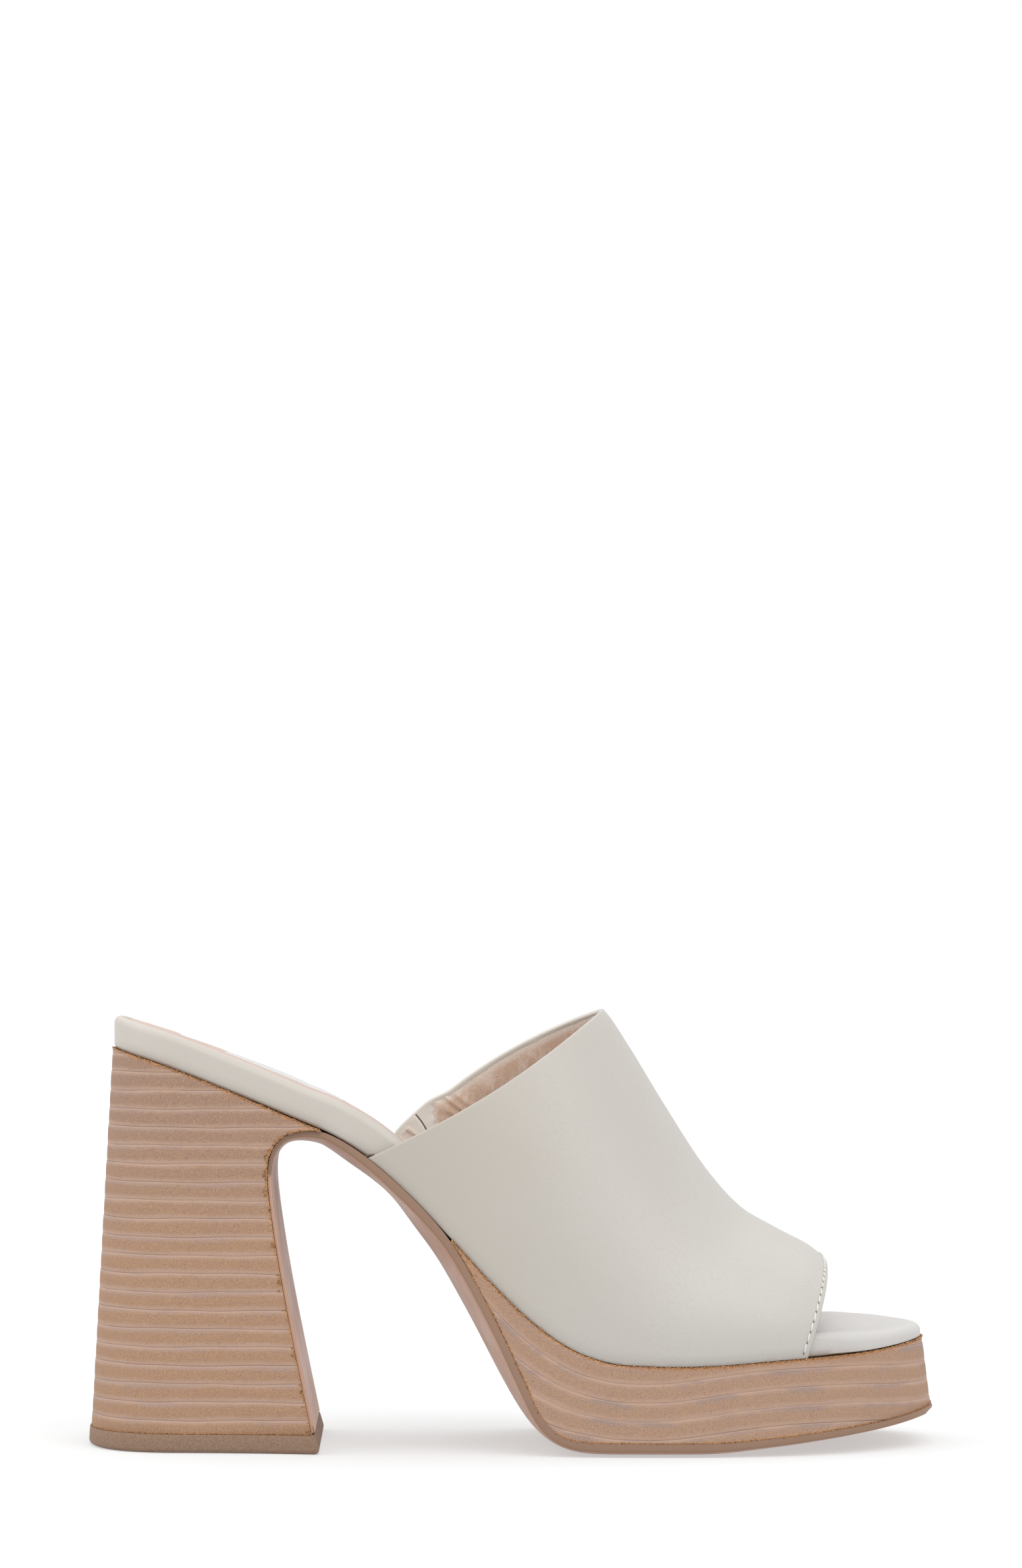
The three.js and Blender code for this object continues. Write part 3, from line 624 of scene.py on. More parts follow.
# Painted shade: a dark finish for the shadow in the needle holes, the lap's opening and the gap at the
# vamp's corner.
PAINTED_SHADE = plain_leather("painted_hole_shade", (126, 114, 98), (108, 96, 82), 0.8)
FRAY = plain_leather("cut_fibre", (204, 150, 100), (104, 70, 48), 0.9, 0.8)
FUZZ = plain_leather("pale_fibre", (222, 192, 166), (170, 122, 84), 0.9, 0.8)


# The heel, the platform and the outsole.
LAYER_STEPS = np.array([0.0, 0.018, 0.05, 0.14, 0.35, 0.65, 0.86, 0.95, 0.982])


def layer_levels(first, last):
    """The levels of a stack's rings: the number of each one's layer and its place within the layer."""
    return (a.ravel() for a in np.meshgrid(np.arange(first, last), LAYER_STEPS, indexing="ij"))


def layer_inset(inside, number):
    """How far a layer's face stands in: a narrow groove at each line, a crown between, some uneven."""
    near = np.minimum(inside, 1 - inside)
    groove = np.clip(1 - near / 0.05, 0, 1) ** 1.6
    uneven = 0.035 * (1 + np.sin(number * 2.4))
    return LAYER_GROOVE * groove + 0.09 * (2 * inside - 1) ** 2 + 0.04 * (1 - inside) + uneven


def heel_wave(x, z):
    """How far the heel's layer lines wander up and down from level, in two crossing waves."""
    return 0.13 * np.sin(x * 0.13 + z * 0.41) + 0.07 * np.sin(x * 0.33 + z * 0.83)


def make_heel():
    lines = int((HEEL_SEAT_HEIGHT - FIRST_LINE) / STACK_LAYER) + 2
    number, inside = layer_levels(-1, lines)
    z = FIRST_LINE + (number + inside) * STACK_LAYER
    turn = np.linspace(0, 1, 171)
    rings = [heel_wall(turn, np.full_like(turn, height), -depth, float(along(HEEL_FRONT)))
             for height, depth in zip(z, layer_inset(inside, number))]
    for ring in rings:
        ring[:, 2] += heel_wave(ring[:, 0], ring[:, 2])
    piece = new_object("stacked_heel", stacked(rings), BOARD)
    breast = breast_line(14)
    x, height = breast[:, 0] - breast[:, 3] * GLUED, breast[:, 1] + breast[:, 2] * GLUED

    def top_at(place):
        """The board's upper edge, which opens a little under the footbed towards the front."""
        return seat_height(place) + SEAM - lerp(GLUED, SEAM, smooth(share_at(place), 0.12, 0.24))
    keep = (height > HEEL_FOOT) & (height < top_at(x) - SEAM / 2)
    behind = FOOTBED_BACK - 40
    seat = along(np.linspace(-0.02, 0.28, 60))
    seat = seat[seat < x[keep][-1] - 0.5][::-1]
    foot = HEEL_FOOT - SEAM + GLUED
    profile = [(behind, foot), (x[0] + 0.2 * GLUED, foot), *zip(x[keep], height[keep]),
               *zip(seat, top_at(seat)), (behind, float(top_at(behind)))]
    at = trim(piece, prism("heel_profile", profile))
    line = np.stack([x, height], 1)
    gap = np.min(np.hypot(at[:, :1] - line[:, 0], at[:, 2:] - line[:, 1]), axis=1)
    under = (top_at(at[:, 0]) - at[:, 2]) / np.hypot(1, slope_of(seat_height, at[:, 0]))
    level = at[:, 2]
    for _ in range(3):  # takes the wave back out
        level = at[:, 2] - heel_wave(at[:, 0], level)
    attribute(piece, "layer", (level - FIRST_LINE) / STACK_LAYER + 10)
    attribute(piece, "edge", np.minimum(np.minimum(gap, under), (at[:, 2] - foot) * 1.6))
    return piece


def flare_at(share):
    """How far the platform spreads over its height: more at the toe than along the sides."""
    return PLATFORM_FLARE + TOE_FLARE * smooth(share, 0.88, 1.0)


def make_platform():
    number, inside = layer_levels(-3, 7)
    share, side = round_trip(spaced(110, PLATFORM_START - 0.03, 1, back=False))
    start = outline_point(share, side)
    lip = lerp(PLATFORM_LIP, TOE_LIP, smooth(share, 0.86, 0.93))
    rings = []
    for level, depth in zip(number + inside, layer_inset(1 - inside, number)):
        sunk = np.clip(seat_height(start[:, 0]) - grain_height(start[:, 0], level), 0, PLATFORM_HEIGHT)
        out = lip + flare_at(share) * sunk / PLATFORM_HEIGHT - depth
        point = outline_offset(share, side, out)
        rings.append(np.column_stack([point, grain_height(point[:, 0], level)]))
    piece = new_object("stacked_platform", stacked(rings), BOARD)
    places = along(np.linspace(PLATFORM_START - 0.003, PLATFORM_END, 220))
    lowest = sole_top(places) + GLUED * np.hypot(1, slope_of(sole_top, places, 0.25))
    highest = seat_height(places) + SEAM / 3
    keep = (places > along(0.6)) | (highest - lowest > SEAM / 2)
    profile = [*zip(places[keep], lowest[keep]), *zip(places[keep][::-1], highest[keep][::-1])]
    at = trim(piece, prism("platform_profile", profile))
    under = (seat_height(at[:, 0]) + SEAM / 3 - at[:, 2]) / np.hypot(1, slope_of(seat_height, at[:, 0]))
    over = (at[:, 2] - sole_top(at[:, 0])) / np.hypot(1, slope_of(sole_top, at[:, 0])) - GLUED
    attribute(piece, "layer", 20 - layer_at(at[:, 0], at[:, 2]))
    attribute(piece, "edge", np.minimum(under, over * 1.7))
    return piece


def make_lift():
    front = float(along(BREAST[0][0])) + BREAST[0][2] * SOLE_THICKNESS
    turn = np.linspace(0, 1, 121)
    corner = np.linspace(0, math.pi / 2, 6)
    steps = [(1.6 * LIFT_EDGE * (1 - math.sin(a)), LIFT_EDGE * (1 - math.cos(a))) for a in corner]
    steps += [(0, LIFT_THICKNESS * 0.6), (0, LIFT_THICKNESS - 0.25), (0.12, LIFT_THICKNESS)]
    rings = [heel_wall(turn, np.full_like(turn, z), LIFT_PROUD - inset,
                       front + (LIFT_THICKNESS - z) * 0.3 - inset) for inset, z in steps]
    return new_object("top_lift_block", stacked(rings), LIFT_FINISH, 35)


def sole_ring(row, on_breast):
    """One section of the outsole, square to its upper face, with rounded lower edges."""
    x, z, *way, edge, bulge, tread = row
    lip = lerp(TOE_LIP, PLATFORM_LIP, smooth(share_at(x), SOLE[0][0], 0.3466))
    if on_breast:
        beyond = TOE_LIP + heel_spread(z) * HEEL_SIDE_FLARE - 2 * SEAM
    else:
        sunk = max(float(seat_height(x)) - z, 0)
        beyond = lip + float(flare_at(share_at(x))) * sunk / PLATFORM_HEIGHT
    outer, inner = (float(reach_at(x, side, beyond)) for side in (-1, 1))
    half = (inner - outer) / 2
    bulge *= 1 - float(smooth(share_at(x), 0.88, 0.97))
    flat = 0.72 * tread

    def depth(v):
        off = np.maximum(np.abs(v) - flat, 0) / (1 - flat)
        return SOLE_THICKNESS * (edge + bulge * (1 - off * off))

    rim = float(depth(1.0))
    corner = min(0.4, 0.4 * rim)
    bend = 0.29 * corner  # how far in the rounded corner's middle lies
    bottom = np.linspace(1 - corner / half, -1 + corner / half, 21)
    top = np.linspace(-1, 1, 25)
    v = np.array([-1, *top, 1, 1, 1 - bend / half, *bottom, -1 + bend / half, -1, -1])
    down = np.array([rim / 2, *(0 * top), rim / 2, rim - corner, rim - bend, *depth(bottom),
                     rim - bend, rim - corner, rim / 2])
    nose = NOSE_ROUND * smooth(x, SHOE_TIP - 3, SHOE_TIP) * (1 - np.sqrt(1 - (down / down.max()) ** 2))
    y = (outer + inner) / 2 + v * half
    return np.column_stack([x + way[1] * down - nose, y, z - way[0] * down])


def make_outsole():
    breast = breast_line(6)
    joint = len(breast)
    rows = [[*row, 0.0] for row in breast]
    share = np.concatenate([np.linspace(SOLE[0][0], 0.86, 120),
                            spaced(36, 0.8655, float(share_at(SHOE_TIP - SEAM / 2)), back=False)])
    for s in share:
        x = float(along(s))
        way = np.array([1, float(slope_of(sole_top, x, 0.25))])
        rows.append([x, float(sole_top(x)), *way / np.hypot(*way), float(sole_edge(s)),
                     float(sole_bulge(s)), float(smooth(s, 0.5124, 0.5745))])
    rows = np.array(rows)
    number = np.arange(len(rows))
    raised = smooth(number, joint - 12, joint) * smooth(sole_lift(share_at(rows[:, 0])), 0.95, 1)
    rows[:, 1] += raised * (SEAM - GLUED)
    near = np.clip(1 - np.abs(number - joint) / 10, 0.3, 1)[1:-1, None]
    for _ in range(24):  # eases the corner where the flap meets the waist
        rows[1:-1] += near * ((rows[:-2] + rows[2:]) / 2 - rows[1:-1]) / 2
    rows[1:-1, 1] += 0.3 * near[:, 0] ** 3  # closes up under the footbed again
    rows[:, 2:4] /= np.linalg.norm(rows[:, 2:4], axis=1, keepdims=True)
    rings = np.array([sole_ring(row, k < joint) for k, row in enumerate(rows)])
    piece = new_object("moulded_outsole", stacked(rings), SOLE_FINISH, 35)
    at = points_of(piece)
    underside = rings[:, 29:50].reshape(-1, 3)  # inside its rounded edges
    lower = lying_on(piece, underside, 1)
    untrimmed = (at[:, 0] < along(0.25)) * (1 - smooth(at[:, 2], 66, 74))
    attribute(piece, "rim", (1 - lower) * (1 - untrimmed))
    return piece


# The footbed and the sock.
def vamp_recess(share):
    return VAMP_TRIM * smooth(share, 0.285, 0.318) * (1 - smooth(share, 0.885, 0.925))


def inner_drop(share, side):
    """How much lower the footbed's finished edge lies on the inner side, in millimetres."""
    return np.where(side > 0, np.interp(share, *np.transpose(INNER_DROP)), 0)


def footbed_height(share):
    return FOOTBED_THICKNESS * (1 - 0.27 * smooth(share, 0.5, 0.84) - 0.26 * smooth(share, 0.86, 1))


def softened(rise, share):
    """A level of the footbed's wall, moved so that its rolled edge is taller at the toe."""
    roll = FOOTBED_ROLL / FOOTBED_THICKNESS
    grown = roll * (1 + 1.5 * smooth(share, 0.84, 0.95))
    return np.where(rise > 1 - roll, 1 - (1 - rise) * grown / roll, rise * (1 - grown) / (1 - roll))


def seat_sheet(levels, count, low, high, front=True):
    """Rings that follow the seat line, each an inset from the outline and a height above the seat."""
    share, side = round_trip(spaced(count, low, high, front=front))
    soft = 1 + 0.8 * smooth(share, 0.8, 0.93)
    bed = FOOTBED_DISH * (1 - smooth(share, 0.6, 0.74))
    rings = []
    for inset, rise, over, dish in levels:
        inner_ring = inset + (soft - 1) * min(inset, SOCK_INSET)
        if rise < 1:
            rise = softened(rise, share)
        point = outline_offset(share, side, -vamp_recess(share) - inner_ring)
        height = SEAM + rise * (footbed_height(share) - inner_drop(share, side)) + over - dish * bed
        ring = np.column_stack([point, above_seat(point[:, 0], height)])
        ring[0] = ring[-1] = (ring[0] + ring[-1]) / 2
        if not front:
            ring[count] = (ring[count - 1] + ring[count + 1]) / 2
        rings.append(ring)
    return rings


def make_footbed():
    roll = FOOTBED_ROLL / FOOTBED_THICKNESS
    levels = [(2.2, 0, 0, 0), (0.9, 0, 0, 0), (0.35, 0.02, 0, 0), (0, 0.1, 0, 0), (0, 0.35, 0, 0)]
    for angle in np.linspace(0, math.pi / 2, 10):
        levels.append((FOOTBED_ROLL * (1 - math.cos(angle)), 1 - roll * (1 - math.sin(angle)), 0, 0))
    rim = SOCK_INSET - SEAM
    for t in (0.35, 0.7, 1.0):
        levels.append((lerp(FOOTBED_ROLL, rim, t), 1, 0, t))
    levels += [(rim + 2, 1, 0, 1), (rim + 6, 1, 0, 1)]
    return new_object("wrapped_footbed", stacked(seat_sheet(levels, 120, 0, 1)), FOOT_LEATHER, 50)


def make_sock():
    levels = [(SOCK_INSET, 1, SEAM * 0.3, 1)]
    for inset, thick in ((0, 0.6), (0.2, 0.9), (0.5, 1), (4, 1), (SOCK_RING, 1)):
        levels.append((SOCK_INSET + inset, 1, SEAM + thick * SOCK_THICKNESS, 1))
    rings = seat_sheet(levels, 90, 0.004, 0.7, front=False)
    return new_object("sock_lining", stacked(rings), SOCK_FINISH, 50)


# The vamp and its lining.
vamp_columns = [column(VAMP, k) for k in range(1, 7)]


def vamp_point(t, turn):
    """The vamp's outer face: t from throat to toe, turn from the outer foot over to the inner one."""
    row = t * (len(VAMP) - 1)
    side = np.where(turn < 0.5, -1.0, 1.0)
    angle = math.pi * np.where(turn < 0.5, turn, 1 - turn)
    outer, inner, ridge, rise, fullness, bulge = (c(row) for c in vamp_columns)
    power = 2 / fullness
    up = np.sin(angle) ** power
    out = np.maximum(np.cos(angle), 0) ** power
    foot_x = along(np.where(side < 0, outer, inner))
    foot_z = seat_height(foot_x) + SEAM
    sag = np.where(side < 0, -THROAT_SAG, THROAT_RISE)
    dip = sag * FOOTBED_LENGTH * np.sin(math.pi * up) * (1 - t) ** 3
    x = foot_x + (along(ridge) - foot_x) * up - dip * 0.6
    z = foot_z + (PLATFORM_HEIGHT + rise * VAMP_HEIGHT - foot_z) * up + dip * 0.8
    ridge_y = RIDGE_SIDE * BALL_WIDTH
    wall_y = np.where(side < 0, reach_at(x, -1, VAMP_STAND), reach_at(x, 1, VAMP_STAND))
    swell = side * bulge * BALL_WIDTH * np.sin(2 * angle)
    tail = (TAIL_RISE * smooth(turn, 0.885, 0.93) * (1 - smooth(turn, 0.965, 0.995))
            * np.clip(1 - t * 7, 0, 1))
    curl = PEAK_CURL * np.clip(1 - t * 20, 0, 1) ** 2 * up ** 6
    z = z + tail - curl
    tuck = side * 0.6 * (1 - smooth(z - seat_height(x) - SEAM, 0, 2.6))
    return np.stack([x, ridge_y + (wall_y - ridge_y) * out + swell - tuck, z], -1)


def vamp_normal(t, turn):
    step = 0.004
    forward = vamp_point(np.minimum(t + step, 1), turn) - vamp_point(np.maximum(t - step, 0), turn)
    around = vamp_point(t, np.minimum(turn + step, 1)) - vamp_point(t, np.maximum(turn - step, 0))
    normal = np.cross(forward, around)
    normal /= np.maximum(np.linalg.norm(normal, axis=-1, keepdims=True), 1e-9)
    upright = np.zeros_like(normal)
    upright[..., 1] = np.where(turn < 0.5, -1.0, 1.0)
    near = 1 - smooth(np.minimum(turn, 1 - turn), 0.0, 0.03)
    normal = lerp(normal, upright, near[..., None])
    return normal / np.linalg.norm(normal, axis=-1, keepdims=True)


def vamp_length(turn):
    """Length of the vamp from throat to toe at a turn."""
    line = vamp_point(np.linspace(0, 1, 60), np.full(60, turn))
    return float(np.linalg.norm(np.diff(line, axis=0), axis=1).sum())


def vamp_section(turn, thick, t):
    """The vamp's wall at a turn: a ring round the throat edge, outer face, toe edge and inner face."""
    arc = 6  # steps of a quarter turn round each edge
    at = np.full_like(t, turn)
    outer, normal = vamp_point(t, at), vamp_normal(t, at)
    inner = outer - normal * thick[:, None]
    rims = []
    for end, back in ((0, 1), (-1, -2)):
        middle, half = (outer[end] + inner[end]) / 2, (outer[end] - inner[end]) / 2
        away = outer[end] - outer[back]
        away /= np.linalg.norm(away)
        angle = np.linspace(0, math.pi, 2 * arc + 1)[1:-1]
        reach = np.linalg.norm(half)
        rims.append([middle + half * math.cos(a) + away * reach * math.sin(a) for a in angle])
    throat, toe = rims
    ring = np.array([*throat[arc - 1::-1], *outer, *toe, *inner[::-1], *throat[:arc - 2:-1]])
    if turn in (0, 1):
        ring[:, 2] = seat_height(ring[:, 0]) + SEAM
    return ring


def turned_in(turn):
    """Width of the leather turned in along the throat: narrow over the ridge, wide near the feet."""
    low = min(turn, 1 - turn) * 2
    wide = 0.3 * (1 - smooth(low, 0.35, 0.9)) + 8 * (1 - smooth(low, 0.10, 0.165))
    return 0.35 + float(wide) + 0.12 * math.sin(turn * 61) + 0.12 * math.sin(turn * 137)


def wall_at(t, length):
    """The vamp's thickness: skived thin along the throat and the toe edge."""
    return VAMP_WALL - 0.9 * (1 - smooth(t * length, 0, 7)) - 0.6 * (1 - smooth((1 - t) * length, 0, 5))


def make_vamp():
    spans = ((0, 0.12, 20), (0.135, 0.90, 46), (0.91, 1, 12))
    t = np.concatenate([np.linspace(*span) for span in spans])
    rings = []
    for turn in np.linspace(0, 1, 151):
        length = vamp_length(turn)
        strip = turned_in(turn)
        lined = smooth(t * length, strip + 0.3, strip + 0.7) * smooth((1 - t) * length, 3.0, 3.6)
        rings.append(vamp_section(turn, wall_at(t, length) - 0.5 * lined, t))
    piece = new_object("vamp_upper", stacked(rings), LEATHER, 60)
    inner_face = np.array(rings)[:, -(len(t) + 6):-2].reshape(-1, 3)
    # The inner face is marked for the leather's painted light, which paints it paler than its shade.
    attribute(piece, "inside", lying_on(piece, inner_face, 1))
    return piece


def lining_rings(turns, start, end, count):
    """Rings of a nap lining laid on the vamp's inner face, between two distances from the throat."""
    step = np.arange(count)
    edge = np.minimum(smooth(step, -0.4, 0.8), smooth(count - 1 - step, -0.4, 0.8))[:, None]
    rings = []
    for turn in turns:
        length = vamp_length(turn)
        t = np.linspace(start(turn) / length, end(length) / length, count)
        at = np.full_like(t, turn)
        outer, normal = vamp_point(t, at), vamp_normal(t, at)
        wall = wall_at(t, length)[:, None]
        near_foot = smooth(turn, 0.868, 0.90) * (1 - smooth(t * length, 8, 16))
        folds = 0.5 + 0.5 * np.sin(turn * 300 + 2.2 * np.sin(turn * 97 + 1) + t * length * 0.5)
        rucks = (near_foot * folds ** 2)[:, None]
        back = outer - normal * (wall - 0.42)  # sunk in the wall, and the face stands out of it
        face = outer - normal * (wall - 0.25 + (0.37 + 0.5 * rucks) * edge)
        rings.append(closed_ring(back, face))
    return rings


def make_lining():
    turns = np.concatenate([np.linspace(0.004, 0.84, 100), np.linspace(0.842, 0.996, 110)])
    rings = lining_rings(turns, turned_in, lambda length: length - 3.8, 60)
    tail = lining_rings(np.linspace(0.9585, 0.9815, 24), lambda turn: 1.2, lambda length: 8.0, 24)
    fix_to_shoe(new_object("lining_tail", stacked(tail), LINING, 60))
    piece = new_object("vamp_lining", stacked(rings), LINING, 60)
    faces = np.array(rings)[:, 62:122]
    run = np.linalg.norm(np.diff(faces, axis=1), axis=2)[:, ::-1].cumsum(axis=1)[:, ::-1]
    from_throat = np.concatenate([run, np.zeros((len(faces), 1))], axis=1)
    attribute(piece, "edge", lying_on(piece, faces.reshape(-1, 3), from_throat.ravel()))
    return piece


def make_slit():
    """The lap in the turned-in leather near the inner foot: a thin lip beside a dark sheet of painted
    shadow in its opening.
    """
    across = np.linspace(0, math.pi, 9)
    for name, finish, start, width, rise in (("lap_opening", PAINTED_SHADE, -0.0018, 0.0022, 0.06),
                                             ("lap_lip", LEATHER, 0.0, 0.014, 0.32)):
        rings = []
        for share in np.linspace(0, 1, 19):
            middle = lerp(0.9465, 0.9525, share ** 2)
            turn = middle + start + width * (1 - np.cos(across)) / 2
            length = vamp_length(middle)
            t = np.full_like(turn, (0.1 + 7.5 * share) / length)
            outer, normal = vamp_point(t, turn), vamp_normal(t, turn)
            wall = wall_at(t, length)[:, None]
            swell = np.minimum(1, across * 2) * (1 - smooth(across, 0.4, math.pi))
            proud = rise * swell * min(1, 8 * share + 0.3, 8 * (1 - share) + 0.2)
            face = outer - normal * (wall + proud[:, None])
            back = outer - normal * (wall - 0.3)
            start_point = (face[0] + back[0]) / 2
            rings.append(np.array([start_point, *face, *back[::-1], start_point]))
        piece = new_object(name, stacked(rings), finish, 60)
        # Marks both pieces as inner face, so the lip takes the leather's painted light.
        attribute(piece, "inside", np.ones(len(piece.data.vertices)))
        fix_to_shoe(piece)


def make_corner_shadow():
    """A dark lens of painted shadow where the vamp's outer rear corner lifts off the footbed's edge."""
    x, z = -38.2, 75.2
    length, width, height = 2.3 * MM, 0.22 * MM, 0.32 * MM
    place = carry((x, float(reach_at(x, -1, -VAMP_TRIM)), z))
    bm = bmesh.new()
    whole = (Matrix.Translation(place) @ Matrix.Rotation(math.radians(-12), 4, "Y")
             @ Matrix.Diagonal((length, width, height, 1)))
    bmesh.ops.create_uvsphere(bm, u_segments=16, v_segments=8, radius=1, matrix=whole)
    fix_to_shoe(new_object("corner_gap", bm, PAINTED_SHADE))


def on_vamp(turn, from_toe):
    """A place on the vamp's face, so many millimetres in from the toe edge, with its frame."""
    t = np.array([1 - from_toe / vamp_length(turn)])
    at = np.array([turn])
    point, normal = vamp_point(t, at)[0], vamp_normal(t, at)[0]
    step = 0.002
    way = (vamp_point(t, at + step) - vamp_point(t, at - step))[0]
    return point, normal, way / np.linalg.norm(way)


def make_stitches():
    """A row of long stitches along the toe edge, each between two dark dots of painted shade that stand
    for needle holes.
    """
    pitch, row, slant_by = 2.85, 1.7, 0.16
    turns = np.linspace(0.010, 0.990, 150)
    line = np.array([on_vamp(turn, row)[0] for turn in turns])
    run = np.concatenate([[0], np.cumsum(np.linalg.norm(np.diff(line, axis=0), axis=1))])
    thread, holes = bmesh.new(), bmesh.new()
    for k in range(int(run[-1] / pitch)):
        stitch_size = (1.24 + rng.uniform(-0.06, 0.06), 0.30, 0.26)
        for bm, place, size, lift in ((thread, k + 0.5, stitch_size, 0.08),
                                      (holes, k, (0.36, 0.17, 0.10), 0.0)):
            turn = float(np.interp(place * pitch, run, turns))
            point, normal, way = (Vector(v) for v in on_vamp(turn, row))
            across = normal.cross(way).normalized()
            slant = (way + across * (slant_by if bm is thread else 0.9)).normalized()
            turned = Matrix((slant, normal.cross(slant).normalized(), normal)).transposed().to_4x4()
            whole = (Matrix.Translation(SHIFT) @ Matrix.Scale(MM, 4)
                     @ Matrix.Translation(point + normal * lift) @ turned @ Matrix.Diagonal((*size, 1)))
            bmesh.ops.create_uvsphere(bm, u_segments=10, v_segments=6, radius=1, matrix=whole)
    fix_to_shoe(new_object("needle_holes", holes, PAINTED_SHADE))
    return new_object("toe_stitches", thread, THREAD)


# Crumbs, fibres and the patch.


def cut_edges(piece):
    """The sharp edges left by the knife: their two ends and the way out between their faces."""
    bm = bmesh.new()
    bm.from_mesh(piece.data)
    near = bm.verts.layers.float["edge"]
    found = [(edge.verts[0].co.copy(), edge.verts[1].co.copy(),
              (edge.link_faces[0].normal + edge.link_faces[1].normal).normalized())
             for edge in bm.edges if len(edge.link_faces) == 2
             and max(vert[near] for vert in edge.verts) < 0.15
             and edge.calc_face_angle() > math.radians(50)]
    bm.free()
    return found


def gather(lot, whole, limit):
    """Moves a lot of small shapes into the whole once it holds enough, to keep each operator quick."""
    if len(lot.verts) > limit:
        mesh = bpy.data.meshes.new("lot")
        lot.to_mesh(mesh)
        whole.from_mesh(mesh)
        bpy.data.meshes.remove(mesh)
        lot.clear()


def make_fray():
    """Crumbs and short fibres along the cut edges of the heel and the platform."""
    crumbs, fibres, all_crumbs, all_fibres = (bmesh.new() for _ in range(4))
    for body, torn in (("stacked_heel", True), ("stacked_platform", False)):
        for start, end, out in cut_edges(bpy.data.objects[body]):
            length = (end - start).length / MM
            breast = torn and abs(out.x) > 0.3 and start.x > -0.07
            sparse = 0.08 if start.x < -0.1 else 0.4 if out.z < -0.3 or start.x < -0.09 else 1.0
            for _ in range(int(length * (6.0 if breast else 2.6 * sparse) + rng.random())):
                size = rng.uniform(0.10, 0.26)
                back = rng.uniform(0, 1.1) ** 2 if breast else 0
                place = start.lerp(end, rng.random())
                place += (out * rng.uniform(-0.12, 0.10) - Vector((back, 0, 0))) * MM
                turned = Euler([rng.uniform(0, 6.28) for _ in range(3)]).to_matrix().to_4x4()
                whole = (Matrix.Translation(place) @ turned
                         @ Matrix.Diagonal((size * 1.5, size, size * 0.7, 1)) @ Matrix.Scale(MM, 4))
                bmesh.ops.create_icosphere(crumbs, subdivisions=1, radius=1, matrix=whole)
            for _ in range(int(length * (2.0 if breast else 0.35 * sparse) + rng.random())):
                aim = out + Vector([rng.uniform(-1, 1) for _ in range(3)])
                place = start.lerp(end, rng.random()) + aim.normalized() * 0.25 * MM
                whole = Matrix.Translation(place) @ aim.to_track_quat("Z", "Y").to_matrix().to_4x4()
                bmesh.ops.create_cone(fibres, cap_ends=True, segments=4, radius1=0.05 * MM,
                                      radius2=0.02 * MM, depth=rng.uniform(0.4, 0.9) * MM, matrix=whole)
            gather(crumbs, all_crumbs, 1500)
            gather(fibres, all_fibres, 1500)
    gather(crumbs, all_crumbs, 0)
    gather(fibres, all_fibres, 0)
    crumbs.free()
    fibres.free()
    fix_to_shoe(new_object("cut_fibres", all_fibres, FUZZ))
    return new_object("cut_crumbs", all_crumbs, FRAY)


def make_patch():
    """The bare pale patch on the sock, which reaches almost to the sock's inner edge."""
    rear, front, outer_end, from_edge = 0.135, 0.281, -6, 0.8
    rings = []
    for share in np.linspace(rear, front, 41):
        edge, inner, outer = (float(outline_offset(share, side, -SOCK_INSET - inset)[1])
                              for side, inset in ((1, 0), (1, SOCK_RING), (-1, SOCK_RING)))
        y = np.linspace(outer_end, edge - from_edge, 31)
        drop = inner_drop(share, 1) * np.clip((y - outer) / (inner - outer), 0, 1)
        sock_top = 2 * SEAM + FOOTBED_THICKNESS - drop - FOOTBED_DISH + SOCK_THICKNESS
        x = np.full_like(y, along(share))
        rings.append(closed_ring(*(np.column_stack([x, y, above_seat(x, sock_top + over)])
                                   for over in (0.05, -0.15))))
    return new_object("sock_patch", stacked(rings), PATCH_FINISH, 40)


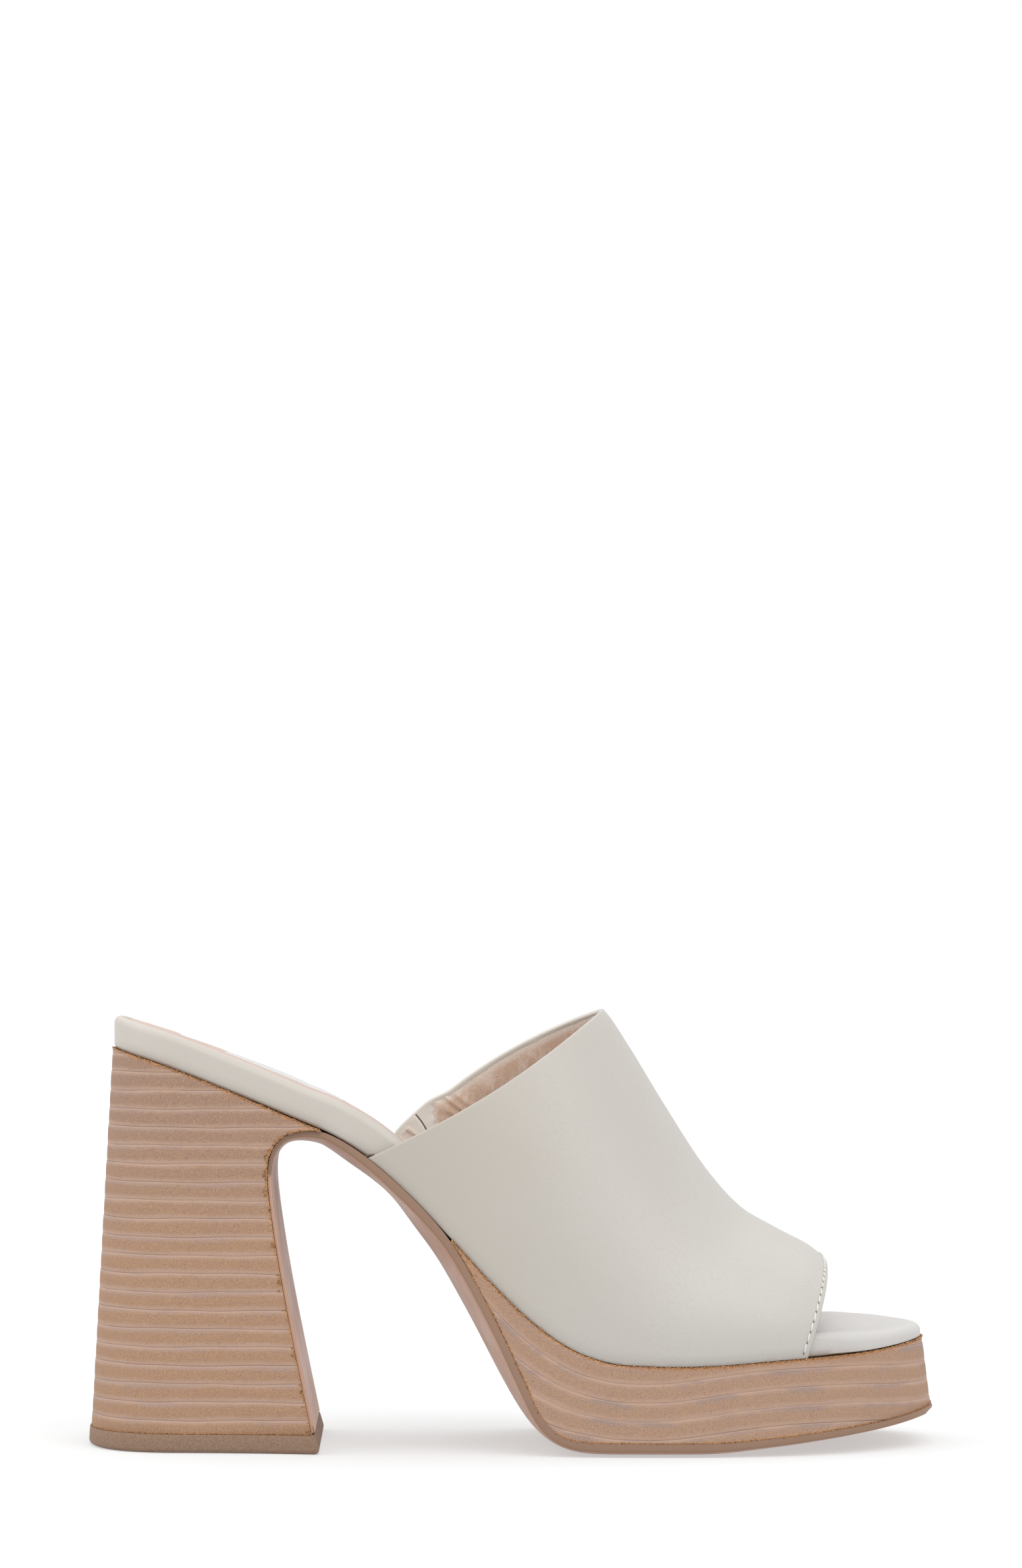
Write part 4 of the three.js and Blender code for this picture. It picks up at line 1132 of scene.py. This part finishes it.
# Putting the shoe together.
DRESS = [
    (make_heel, "heel", "stacked_board"),
    (make_platform, "platform", "stacked_board"),
    (make_lift, "top_lift", "lift_rubber"),
    (make_outsole, "outsole", "sole_rubber"),
    (make_footbed, "footbed", "upper_leather"),
    (make_sock, "sock", "sock_leather"),
    (make_vamp, "vamp", "upper_leather"),
    (make_lining, None, "sock_leather"),
    (make_stitches, None, "upper_leather"),
    (make_fray, None, "stacked_board"),
    (make_patch, None, "sock_leather"),
]
make_slit()
make_corner_shadow()
for make, node, slot in DRESS:
    piece = make()
    fix_to_shoe(piece)
    if node:
        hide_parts(node)


# Floor, light and camera.
def make_floor():
    """A pale floor that glows a little, so that it stays white right up to the shoe's soft shadow."""
    bm = bmesh.new()
    bmesh.ops.create_grid(bm, x_segments=1, y_segments=1, size=6)
    finish = Finish("floor", roughness=0.9, specular_ior_level=0.0, base_color=(0.376, 0.382, 0.384, 1),
                    emission_color=(1, 1, 1, 1), emission_strength=0.46)
    new_object("floor", bm, finish.material)


def soft_light(name, come_from, spread, strength):
    """Even light from a wide patch of the studio, the same all over the floor."""
    light = bpy.data.lights.new(name, "SUN")
    light.angle, light.energy = math.radians(spread), strength
    lamp = bpy.data.objects.new(name, light)
    lamp.rotation_euler = Vector(come_from).to_track_quat("Z", "Y").to_euler()
    bpy.context.scene.collection.objects.link(lamp)


make_floor()
soft_light("key", (0.45, -1.0, 1.0), 55, 1.3)
soft_light("top", (-0.1, 0.45, 1.3), 80, 0.9)
soft_light("side", (-1.0, -0.1, 0.4), 60, 0.95)

world = bpy.data.worlds.new("studio")
world.use_nodes = True
backdrop = world.node_tree.nodes["Background"]
backdrop.inputs["Color"].default_value = (1, 1, 1, 1)
backdrop.inputs["Strength"].default_value = 1.0
bpy.context.scene.world = world
bpy.context.scene.view_settings.view_transform = "Standard"

# The photograph is 1552 by 2380, and a point 1282 mm away shows 5.84 of its pixels to a millimetre.
FOCAL_PIXELS, FRAME_PIXELS, SENSOR = 7485, 2380, 36
camera_data = bpy.data.cameras.new("camera")
camera_data.sensor_width = SENSOR
camera_data.lens = FOCAL_PIXELS / FRAME_PIXELS * SENSOR
camera_data.clip_start, camera_data.clip_end = 0.05, 30
camera = bpy.data.objects.new("camera", camera_data)
camera.location = (-0.0246, -1.2818, 0.1278)
camera.rotation_euler = (math.radians(90 + 1.905), 0, math.radians(-1.1))
bpy.context.scene.collection.objects.link(camera)
bpy.context.scene.camera = camera
